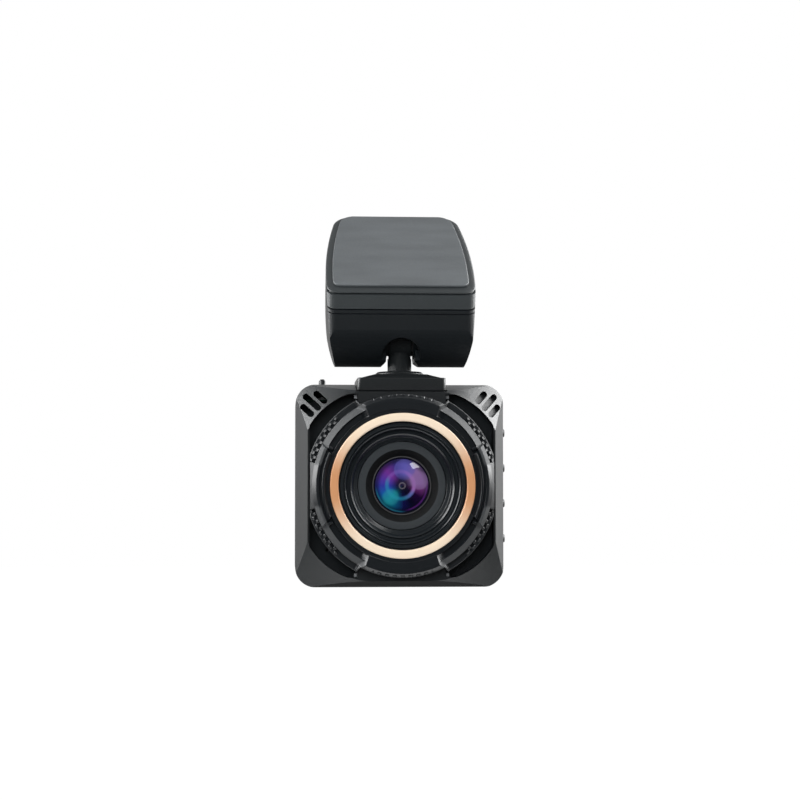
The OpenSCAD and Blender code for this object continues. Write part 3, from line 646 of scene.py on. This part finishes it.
class DASHCAM_OT_mount_head(bpy.types.Operator):
    """Finish the windscreen mount's head and the stem"""

    bl_idname = "dashcam.mount_head"
    bl_label = "Mount head and stem"

    def execute(self, context):
        c = colours()
        dress(moulded_plastic("head_plastic", c.head, 0.46), "head_band")
        # The lower shell's darker tone is in part painted shade of its down-facing belly
        dress(moulded_plastic("shell_plastic", c.shell, 0.5), "head_lower_shell", "hinge_bracket")
        dress(moulded_plastic("stem_plastic", [0.42 * v for v in c.head], 0.38), "stem")
        soften("stem", 0.15)
        return {"FINISHED"}


class DASHCAM_OT_inside(bpy.types.Operator):
    """Finish the pieces inside the camera and the head, and the fasteners"""

    bl_idname = "dashcam.inside"
    bl_label = "Inner pieces and fasteners"

    metals = (
        ("screw_steel", (0.42, 0.42, 0.43), 0.35, ("hinge_pin", "bracket_screws", "head_screws",
                                                   "swivel_screw", "swivel_washer", "rail_screws",
                                                   "board_screws")),
        ("black_screw_steel", (0.05, 0.05, 0.055), 0.4, ("housing_screws",)),
        ("tin_plate", (0.62, 0.62, 0.64), 0.3, ("heat_spreader",)),
        ("cell_foil", (0.55, 0.56, 0.58), 0.38, ("battery",)),
    )
    plastics = (
        ("washer_plastic", (0.02, 0.02, 0.022), 0.5, ("friction_washers",)),
        ("chip_resin", (0.02, 0.02, 0.022), 0.4, ("image_sensor", "microphone")),
        ("switch_resin", (0.25, 0.25, 0.26), 0.45, ("key_switches",)),
        ("inner_black", (0.012, 0.012, 0.013), 0.5, ("speaker", "display_panel", "lens_holder",
                                                     "aperture_stop")),
    )

    def execute(self, context):
        for make, table in ((plain_metal, self.metals), (moulded_plastic, self.plastics)):
            for name, color, roughness, nodes in table:
                dress(make(name, color, roughness), *nodes)
        for node in ("usb_socket", "card_socket"):
            dress(self.socket(node), node)
        dress(self.board(), "sensor_board", "main_board", "key_board", "power_board")
        dress(self.window(), "display_window")
        dress(self.inner_glass(), "middle_lens", "rear_lens")
        soften("display_window", 0.15)
        return {"FINISHED"}

    @staticmethod
    def socket(node):
        """Tin plate round the mouth at the left side, and black resin deeper in the socket."""
        finish = Finish(node + "_tin", (0.20, 0.20, 0.21), 0.5, metallic=1.0)
        across = finish.axes(finish.coords())[0]
        deep = ((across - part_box(node)[0].x) / MM).step(0.1, 0.25)
        finish.put("Base Color", finish.mix(deep, finish.color, (0.008, 0.008, 0.009)))
        finish.put("Metallic", 1.0 - deep)
        finish.put("Roughness", 0.46 + 0.1 * finish.scratches())
        return finish.material

    @staticmethod
    def board():
        """Green solder mask over copper tracks."""
        finish = Finish("solder_mask", (0.004, 0.016, 0.010), 0.35)
        sockets = {"Vector": finish.coords(), "Scale": 260.0, "Mortar Size": 0.06}
        tracks = finish.node("ShaderNodeTexBrick", None, sockets, "Fac")
        finish.put("Base Color", finish.tones(tracks, 0.8, 1.7))
        finish.grain(tracks, 0.03 * MM, 0.4)
        return finish.material

    @staticmethod
    def window():
        """Black polished window with a few faint rubs."""
        finish = Finish("window_gloss", (0.004, 0.004, 0.005), 0.06, coat=1.0)
        finish.put("Roughness", 0.04 + 0.06 * finish.noise(60.0, 4.0))
        return finish.material

    @staticmethod
    def inner_glass():
        """Coated glass deep in the barrel."""
        finish = Finish("inner_glass", (0.03, 0.03, 0.09), 0.03, coat=1.0)
        finish.put("Roughness", 0.02 + 0.03 * finish.noise(80.0))
        return finish.material


class DASHCAM_OT_bezel(bpy.types.Operator):
    """Make the bezel ring, with its pockets, hooks and knurled patches"""

    bl_idname = "dashcam.bezel"
    bl_label = "Bezel ring"

    # Radii about the lens axis and heights above the housing's front edge, in millimetres
    inner_r, seat_r, lip_r = 15.3, 17.74, 18.68
    side_r, band_r, band_end, cap_r = 21.0, 20.4, 21.98, 21.3
    seat_h, lip_h, land_h = 3.4, 3.8, 4.15
    ring_r, rim_r, rim_h, rim_ease = 22.3, 23.7, 0.65, 0.22
    trench_half, rim_starts, back = 22.45, 10.95, 5.0
    outer_groove, inner_groove, ridge_r, ridge_half = (19.75, 20.35), (18.15, 18.95), 19.36, 0.38
    pocket_r, pocket_d, tab_r = (18.8, 20.36), 1.6, (19.05, 20.36)
    band_d, band_slope = 0.62, 0.95
    hook_h, hook_across, hook_up, fillet = 2.7, 0.95, 0.3, 0.3
    inner_teeth, outer_teeth, tooth_h = (22.08, 22.72), (22.76, 23.36), 2.05
    notch_r, notch_d = (21.72, 21.86), 0.3

    # Angles from level in each quarter, in degrees
    pitch, tooth_q, notch_q = 5.0, 30.35, (70.2, 70.8)
    cut_q, cut_slant, tab_q, patch_q = 26.3, 1.3, (26.4, 28.3), (14.4, 46.2)
    rim_from, rim_to = (14.4, 15.0), (60.4, 61.2)

    around, soft = 1200, 0.06

    def execute(self, context):
        radius, height, angle = self.surface()
        points = about_lens(radius, -height, angle)
        faces = grid_faces(*radius.shape, True, True)
        ring = new_piece("bezel_ring", points, faces, "camera", self.plastic())
        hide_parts("lens_bezel")
        return {"FINISHED"}

    def surface(self):
        """The ring as a grid of angle by profile place: up the bore, across the front as a height over
        radius and angle, down the outer wall and back."""
        angle = full_turn(self.around)
        edge = self.edge(angle)
        inside = np.concatenate([np.linspace(self.inner_r + 0.1, self.seat_r - 0.1, 3),
                                 np.linspace(self.seat_r - 0.04, 18.8, 12), np.linspace(18.86, 20.3, 14),
                                 np.linspace(20.33, self.band_end, 20)])
        share = np.linspace(0.02, 1.0, 26)[None, :]
        outside = self.band_end + share * (edge - self.band_end)
        radius = np.concatenate([inside + 0.0 * angle, outside], axis=1)
        height = self.height(radius, angle, edge)
        bore = self.inner_r + 0.0 * angle
        back = -self.back + 0.0 * angle
        top = height[:, -1:]
        radius = np.concatenate([bore, bore, bore, radius, edge, edge, edge], axis=1)
        height = np.concatenate([back, 0.97 * self.seat_h + 0 * back, self.seat_h + 0 * back, height,
                                 top - 0.08, 0.98 * back, back], axis=1)
        return radius, height, angle

    def edge(self, angle):
        """Outer radius: the rim inside the trench's two sides, and the plain ring at top and bottom."""
        across = np.abs(np.cos(angle))
        rim = np.clip(self.trench_half / np.maximum(across, 0.01), self.ring_r, self.rim_r)
        in_trench = rise(across * self.rim_r, self.rim_starts, self.rim_starts + 0.25)
        return self.ring_r + (rim - self.ring_r) * in_trench

    def height(self, r, angle, edge):
        """Height of the front above the housing's front edge, over radius and q, the angle from level in
        each quarter: a side, a diagonal band and a cap, joined by a slanted cut and by a hook."""
        q = np.degrees(np.arctan2(np.abs(np.sin(angle)), np.abs(np.cos(angle))))
        step = (self.lip_h - self.seat_h) * rise(r, self.seat_r - 0.04, self.seat_r + 0.04)
        land = (self.land_h - self.lip_h) * rise(r, self.lip_r - self.soft, self.lip_r + self.soft)
        lip = self.seat_h + step + land
        side = lip - self.slope_past(r, self.side_r) + self.side_grooves(r)
        cap = lip - self.slope_past(r, self.cap_r) + self.serrations(r, q)
        lean = self.hook_across * np.abs(r * np.cos(angle)) - self.hook_up * np.abs(r * np.sin(angle))
        hook = self.land_h + self.hook_h - lean
        diagonal = self.joined(lip - self.pocket(r, q), np.minimum(cap, hook))
        cut = self.cut_q + self.cut_slant * (r - self.side_r)
        h = side + (diagonal - side) * rise(q, cut - 0.3, cut + 0.3)
        outside = rise(r, self.band_end, self.band_end + self.soft)
        outside = outside * rise(q, *self.rim_from) * (1.0 - rise(q, *self.rim_to))
        return h + (self.knurled(r, q, edge) - h) * outside

    def joined(self, low, high):
        """The higher of two heights, with a fillet in the corner where they meet."""
        return 0.5 * (low + high + np.sqrt((low - high) ** 2 + self.fillet**2))

    @staticmethod
    def slope_past(r, start):
        """Drop of a 45 degree chamfer that starts at a radius, with its edge eased."""
        past = r - start
        return 0.5 * (past + np.sqrt(past**2 + 0.005))

    def side_grooves(self, r):
        """Left and right: two grooves with a round ridge between them."""
        grooves = 0.8 * span(r, *self.outer_groove, self.soft) + 0.5 * span(r, *self.inner_groove, self.soft)
        return 0.18 * np.sqrt(np.clip(1.0 - ((r - self.ridge_r) / self.ridge_half) ** 2, 0.0, 1.0)) - grooves

    def serrations(self, r, q):
        """Top and bottom: a row of small notches along the foot of the chamfer."""
        notches = rise(np.cos(2.0 * np.pi * (q - 90.0) / self.pitch), -0.1, 0.4)
        return -self.notch_d * notches * rise(r, *self.notch_r) * rise(q, *self.notch_q)

    def pocket(self, r, q):
        """Diagonals: depth of the arc-shaped pocket, with a small tab in its lower end, and of the band
        that slopes away outside it."""
        tab = span(q, *self.tab_q, 0.25) * span(r, *self.tab_r, self.soft)
        arc = self.pocket_d * span(r, *self.pocket_r, self.soft) * (1.0 - 0.85 * tab)
        band = self.band_d + self.band_slope * (r - self.band_r)
        return arc + band * rise(r, self.band_r - self.soft, self.band_r + 0.04)

    def knurled(self, r, q, edge):
        """The rim, eased at its edge, with two staggered rows of slanted teeth in each of four patches."""
        wave = np.cos(2.0 * np.pi * (q - self.tooth_q) / self.pitch)
        inner = span(r, *self.inner_teeth, 0.07) * rise(-wave, 0.0, 0.4)
        outer = span(r, *self.outer_teeth, 0.07) * rise(wave, 0.0, 0.4)
        patch = span(q, *self.patch_q, 0.4)
        rim = self.rim_h - self.rim_ease * rise(r, edge - self.rim_ease, edge)
        return rim + patch * (inner + outer) * (self.tooth_h - (r - self.band_end) - rim)

    @staticmethod
    def plastic():
        """Satin black plastic with a fine grain, duller on the knurled rim and on the four sloping bands,
        which are a little paler too as painted sheen."""
        c = colours()
        finish = Finish("bezel_plastic", c.bezel, 0.34)
        x, _, z, r = finish.lens_axes()
        bands = r.step(20.35, 20.5) * r.step(22.0, 21.9) * z.abs().step(4.6, 5.6) * x.abs().step(8.8, 9.8)
        broad = finish.moulded(0.2)
        # Painted sheen: the four sloping bands are paler
        finish.put("Base Color", finish.mix(bands, finish.tones(broad), c.bezel_painted_sheen))
        finish.put("Roughness", 0.29 + 0.1 * broad + 0.2 * r.step(21.95, 22.1) + 0.3 * bands)
        return finish.material


class DASHCAM_OT_copper(bpy.types.Operator):
    """Make the spun copper ring round the lens"""

    bl_idname = "dashcam.copper"
    bl_label = "Copper ring"

    profile = [(15.62, -3.4), (15.62, -4.15), (15.9, -4.4), (17.48, -4.4), (17.68, -4.2), (17.68, -3.4)]
    corner_r = 0.12

    def execute(self, context):
        points, faces = turned(rounded_loop(self.profile, self.corner_r), studio().around)
        ring = new_piece("copper_ring", points, faces, "camera", self.spun_metal())
        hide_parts("accent_ring")
        return {"FINISHED"}

    @staticmethod
    def spun_metal():
        """Copper-coloured metal spun in fine rings, with a painted sheen that makes it paler at the top and
        bottom.
        """
        c = colours()
        finish = Finish("spun_copper", c.copper, 0.38, metallic=0.1)
        _, _, z, r = finish.lens_axes()
        rings = finish.rings(r, 16.0, 4.0)
        lines = 0.35 * rings + 0.12 * finish.noise(2600.0, 2.0)
        # Painted sheen: paler towards the top and bottom, where spun metal shows its highlight
        tone = finish.mix((z.abs() / r).step(0.12, 0.92), finish.color, c.copper_painted_sheen)
        finish.put("Base Color", finish.mix(lines * 0.22, tone, (0.30, 0.16, 0.09)))
        finish.put("Roughness", 0.30 + 0.2 * rings)
        finish.grain(rings, 0.02 * MM, 0.35)
        return finish.material


class DASHCAM_OT_hood(bpy.types.Operator):
    """Make the black stepped hood and the lens barrel"""

    bl_idname = "dashcam.hood"
    bl_label = "Hood and barrel"

    hood_profile = [
        (15.2, 5.0), (15.2, -3.85), (14.66, -3.75), (14.54, -3.85), (14.34, -3.65), (14.24, -3.5),
        (14.16, -3.9), (14.04, -3.9), (13.74, -3.6), (13.6, -2.5), (12.9, -2.3), (12.76, -2.85),
        (12.66, -2.85), (12.14, -2.33), (11.9, -1.4), (10.9, -1.0), (10.9, 5.0),
    ]
    barrel_profile = [
        (10.75, -0.6), (10.75, 3.0), (8.0, 3.0), (8.0, 15.0), (5.1, 15.0), (5.1, 5.2), (6.92, 5.2),
        (6.92, 0.55), (7.0, 0.2), (7.16, 0.2), (7.24, 0.5), (8.9, -0.6),
    ]
    hood_corner_r, barrel_corner_r = 0.16, 0.1

    def execute(self, context):
        around = studio().around
        points, faces = turned(rounded_loop(self.hood_profile, self.hood_corner_r), around)
        hood = new_piece("stepped_hood", points, faces, "camera", self.hood_black())
        points, faces = turned(rounded_loop(self.barrel_profile, self.barrel_corner_r), around)
        barrel = new_piece("barrel", points, faces, "camera", self.barrel_paint())
        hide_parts("lens_hood")
        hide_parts("lens_barrel")
        return {"FINISHED"}

    @staticmethod
    def hood_black():
        """Satin black with faint turning marks."""
        finish = Finish("hood_black", (0.0105, 0.0135, 0.0160), 0.24)
        *_, r = finish.lens_axes()
        rings = finish.rings(r, 9.0, 2.0)
        finish.put("Base Color", finish.tones(rings, 0.8, 1.25))
        finish.put("Roughness", 0.20 + 0.08 * rings)
        finish.grain(rings, 0.03 * MM, 0.25)
        return finish.material

    @staticmethod
    def barrel_paint():
        """Grey flat ring outside, black cone inside and a thin grey edge next to the glass."""
        finish = Finish("barrel_paint", (0.026, 0.028, 0.030), 0.48)
        *_, r = finish.lens_axes()
        speckle = finish.noise(2400.0, 2.0)
        grey = finish.mix(speckle, (0.027, 0.032, 0.036), (0.040, 0.046, 0.051))
        flat = r.step(8.82, 8.98)
        cone = finish.mix(flat, (0.003, 0.0035, 0.004), grey)
        finish.put("Base Color", finish.mix(r.step(7.3, 7.2), cone, (0.06, 0.06, 0.062)))
        finish.put("Roughness", 0.78 - 0.12 * flat + 0.14 * speckle)
        return finish.material


class DASHCAM_OT_glass(bpy.types.Operator):
    """Make the domed front lens with its coating"""

    bl_idname = "dashcam.glass"
    bl_label = "Front lens"

    dome_r, apex_y, edge_r, back_y, pole_r = 12.9, -1.4, 6.9, 5.2, 0.04

    def execute(self, context):
        points, faces = turned(self.section(), studio().around, closed=False)
        lens = new_piece("coated_lens", points, faces, "camera", self.coating())
        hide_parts("front_lens")
        return {"FINISHED"}

    def section(self):
        """Half section from the front pole: the dome y = apex + R - sqrt(R^2 - r^2), a ground edge and a
        flat back."""
        r = np.linspace(self.pole_r, self.edge_r - 0.12, 40)
        dome = np.stack([r, self.apex_y + self.dome_r - np.sqrt(self.dome_r**2 - r**2)], axis=1)
        rim_y = dome[-1, 1]
        edge = [(self.edge_r, rim_y + 0.12), (self.edge_r, self.back_y - 0.1),
                (self.edge_r - 0.1, self.back_y), (self.pole_r, self.back_y)]
        return np.concatenate([dome, edge])

    @staticmethod
    def coating():
        """Dark glass under painted reflections: the coating's reflected colour turns round the axis, soft
        discs and a pale ring stand in for what the inner lenses throw back, two coloured edges are painted
        reflections too, and a grey pupil."""
        c = colours()
        finish = Finish("coated_glass", (0.006, 0.006, 0.022), 0.05, coat=1.0, coat_roughness=0.02)
        x, _, z, r = finish.lens_axes()
        haze = finish.noise(900.0)
        turn = finish.node("ShaderNodeMath", {"operation": "ARCTAN2"}, [z, x]) / (2.0 * np.pi) + 0.5
        navy, black = (0.006, 0.006, 0.060), (0.003, 0.003, 0.014)
        # Painted reflections of the coating, in colours that turn round the axis
        wheel = [
            (0.00, c.coat_reflection_indigo), (0.06, (0.010, 0.090, 0.350)), (0.13, c.coat_reflection_teal),
            (0.21, (0.004, 0.060, 0.150)), (0.26, navy), (0.33, black), (0.41, (0.012, 0.002, 0.030)),
            (0.47, (0.110, 0.020, 0.130)), (0.52, c.coat_reflection_mauve), (0.62, c.coat_reflection_mauve), (0.72, c.coat_reflection_violet),
            (0.80, (0.030, 0.020, 0.160)), (0.88, c.coat_reflection_purple), (0.95, (0.070, 0.030, 0.300)),
            (1.00, c.coat_reflection_indigo),
        ]
        tone = finish.node("ShaderNodeValToRGB", {"stops": wheel}, [turn])
        deep = r.step(3.4, 1.4) * 0.8 + r.step(5.0, 6.3) * 0.75
        tone = finish.mix(deep.up_to(1.0), tone, black)
        low, low_left = z.step(-0.4, -2.4), (x + z).step(-0.5, -3.2)
        # Painted reflection: the pale ring that the inner lenses throw back
        glow = finish.mix(x.step(-2.0, 2.0), (0.200, 0.080, 0.400), c.coat_reflection_lilac)
        glow = finish.mix(low, glow, (0.110, 0.170, 0.480))
        glow = finish.mix(low_left, glow, (0.020, 0.280, 0.420))
        ring_r = length(x + 0.4, z - 0.15)
        ring = ring_r.step(2.6, 3.25) * ring_r.step(4.0, 3.45)
        tone = finish.mix(ring * (0.45 + 0.3 * x.step(0.0, 2.5)), tone, glow)
        # Painted reflections of the inner lenses as soft discs
        reflected_disc = finish.disc(x, z, (0.6, 3.9), 2.55, 0.2) * z.step(0.6, 3.2)
        tone = finish.mix(reflected_disc * (0.42 + 0.2 * haze), tone, c.coat_reflection_violet)
        reflected_disc = finish.disc(x, z, (4.2, 1.3), 2.25, 0.3) * z.step(5.0, 2.0)
        tone = finish.mix(reflected_disc * (0.5 + 0.2 * haze), tone, c.coat_reflection_mauve)
        reflected_disc = finish.disc(x, z, (-2.8, -2.8), 1.9, 0.4)
        tone = finish.mix(reflected_disc * (0.3 + 0.2 * haze), tone, (0.030, 0.300, 0.330))
        # Painted reflections along the rim of the glass
        right_edge = r.step(5.8, 6.0) * r.step(6.4, 6.2) * x.step(0.0, 3.0) * z.step(1.5, -0.5)
        tone = finish.mix(right_edge * 0.5, tone, c.coat_reflection_purple)
        left_edge = r.step(6.05, 6.25) * r.step(6.6, 6.4) * z.step(0.0, -2.5) * x.step(1.5, -1.0)
        tone = finish.mix(left_edge * 0.6, tone, (0.020, 0.180, 0.260))
        tone = finish.mix(r.step(6.45, 6.65), tone, black)
        tone = finish.mix(r.step(1.8, 1.1) * 0.6, tone, black)
        pupil = r.step(0.45, 0.62) * r.step(0.95, 0.8)
        finish.put("Base Color", finish.mix(pupil * 0.6, tone, (0.140, 0.125, 0.150)))
        finish.put("Roughness", 0.03 + 0.04 * haze)
        return finish.material


def on_slope(x, u, n):
    """Points across, up the slope and out of the pad's face, whose direction the record gives."""
    out = np.array(PAD_AXIS)
    up = np.array([0.0, out[2], -out[1]])
    across = np.array([1.0, 0.0, 0.0])
    return (x[..., None] * across + u[..., None] * up + n[..., None] * out) * MM


def bowed_plan(inset, front, rear, half_w, corner_r, around):
    """Plan of a layer of the head as x and u, drawn in by the inset: sides bowed on a large circle, and a
    quarter round that draws them in at each corner. The loop goes up one side and down the other."""
    bow_r, widest, least_r = 120.0, -10.4, 0.3
    low, high = front + inset, rear - inset
    t = np.linspace(0.0, 1.0, around)[None, :]
    u = low + (high - low) * 0.5 * (1.0 - np.cos(np.pi * t))
    half = half_w - inset - bow_r + np.sqrt(bow_r**2 - (u - widest) ** 2)
    for radius, past in zip(corner_r, (u - low, high - u)):
        r = np.maximum(radius - inset, least_r)
        short = np.clip(r - past, 0.0, r)
        half = half - r + np.sqrt(r * r - short * short)
    return np.concatenate([half, -half[:, ::-1]], axis=1), np.concatenate([u, u[:, ::-1]], axis=1)


def layer_faces(rings, count):
    """Faces of a stack of loops, closed by one face at each end."""
    ends = [list(range(count))[::-1], list(range((rings - 1) * count, rings * count))]
    return grid_faces(rings, count, False, True) + ends


class DASHCAM_OT_top_plate(bpy.types.Operator):
    """Make the head's top plate, with the rounded edge that shows beside the pad"""

    bl_idname = "dashcam.top_plate"
    bl_label = "Top plate"

    top, bottom, rear, half_w = -0.7, -1.25, 17.1, 18.6
    round_w, round_h, corner_r, around = 1.15, 0.42, (2.8, 4.0), 72

    def execute(self, context):
        turn = np.linspace(0.0, np.pi / 2.0, 12)
        inset = np.concatenate([[0.3, 0.07, 0.0], self.round_w * (1.0 - np.cos(turn)), [3.0, 11.0]])
        n = np.concatenate([[self.bottom, self.bottom + 0.02, self.bottom + 0.08],
                            self.top - self.round_h * (1.0 - np.sin(turn)), [self.top, self.top]])
        x, u = bowed_plan(inset[:, None], self.front(n)[:, None], self.rear, self.half_w, self.corner_r,
                          self.around)
        plastic = moulded_plastic("plate_plastic", colours().head, 0.46)
        points = on_slope(x, u, n[:, None] + 0.0 * x)
        plate = new_piece("top_plate", points, layer_faces(*x.shape), "mount_head", plastic)
        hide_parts("head_top_plate")
        return {"FINISHED"}

    @staticmethod
    def front(n):
        """Place up the slope of the upright front at a layer: the face u cos a - n sin a = front y."""
        lean, level = -PAD_AXIS[1], PAD_AXIS[2]
        return (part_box("head_top_plate")[0][1] / MM + n * lean) / level


class DASHCAM_OT_pad(bpy.types.Operator):
    """Make the adhesive pad on the sloped top of the mount head"""

    bl_idname = "dashcam.pad"
    bl_label = "Adhesive pad"

    half_l, half_w, corner_r, around = 16.1, 16.9, (1.7, 3.0), 64
    ripple_h = 0.03

    # Edge of the pad from its back to its face, as inset and height
    crown = [(0.25, -0.7), (0.06, -0.66), (0.0, -0.55), (0.0, -0.25), (0.03, -0.14), (0.1, -0.06),
             (0.22, -0.015), (0.4, 0.0)]

    def execute(self, context):
        crown = np.array(self.crown)
        inner = np.linspace(1.2, 12.0, 10)
        inset = np.concatenate([crown[:, 0], inner])[:, None]
        n = np.concatenate([crown[:, 1], 0.0 * inner])[:, None]
        x, u = bowed_plan(inset, -self.half_l, self.half_l, self.half_w, self.corner_r, self.around)
        wave = 1.0 + np.sin(0.9 * u + 0.5 * np.sin(0.5 * x))
        points = on_slope(x, u, n - self.ripple_h * wave * rise(inset, 0.4, 3.0))
        pad = new_piece("foam_pad", points, layer_faces(*x.shape), "mount_head", self.liner())
        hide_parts("adhesive_pad")
        return {"FINISHED"}

    @staticmethod
    def liner():
        """Grey liner over foam, with long faint scuffs and specks."""
        finish = Finish("pad_liner", colours().pad, 0.55)
        scuffs = finish.noise(160.0, 5.0, (0.35, 1.6, 1.6))
        specks = finish.noise(2200.0, 2.0)
        finish.put("Base Color", finish.tones(0.75 * scuffs + 0.25 * specks, 0.58, 1.42))
        finish.put("Roughness", 0.46 + 0.18 * scuffs)
        finish.grain(0.6 * scuffs + 0.4 * specks, 0.05 * MM, 0.3)
        return finish.material


OPERATORS = (
    DASHCAM_OT_stage,
    DASHCAM_OT_housing,
    DASHCAM_OT_mount_head,
    DASHCAM_OT_inside,
    DASHCAM_OT_bezel,
    DASHCAM_OT_copper,
    DASHCAM_OT_hood,
    DASHCAM_OT_glass,
    DASHCAM_OT_top_plate,
    DASHCAM_OT_pad,
)


class DASHCAM_PT_panel(bpy.types.Panel):
    """The steps that dress the dash camera"""

    bl_idname = "DASHCAM_PT_panel"
    bl_label = "Dash camera"
    bl_space_type = "VIEW_3D"
    bl_region_type = "UI"
    bl_category = "Dash camera"

    def draw(self, context):
        for group in (context.scene.dashcam_colours, context.scene.dashcam_studio):
            for name in group.bl_rna.properties.keys():
                if name not in ("rna_type", "name"):
                    self.layout.prop(group, name)
        for operator in OPERATORS:
            self.layout.operator(operator.bl_idname)


CLASSES = (DashcamColours, DashcamStudio) + OPERATORS + (DASHCAM_PT_panel,)


def register():
    for cls in CLASSES:
        bpy.utils.register_class(cls)
    bpy.types.Scene.dashcam_colours = PointerProperty(type=DashcamColours)
    bpy.types.Scene.dashcam_studio = PointerProperty(type=DashcamStudio)


def unregister():
    del bpy.types.Scene.dashcam_studio
    del bpy.types.Scene.dashcam_colours
    for cls in reversed(CLASSES):
        bpy.utils.unregister_class(cls)


def main():
    register()
    bpy.ops.dashcam.stage()
    bpy.ops.dashcam.housing()
    bpy.ops.dashcam.mount_head()
    bpy.ops.dashcam.inside()
    bpy.ops.dashcam.bezel()
    bpy.ops.dashcam.copper()
    bpy.ops.dashcam.hood()
    bpy.ops.dashcam.glass()
    bpy.ops.dashcam.top_plate()
    bpy.ops.dashcam.pad()


if __name__ == "__main__":
    main()
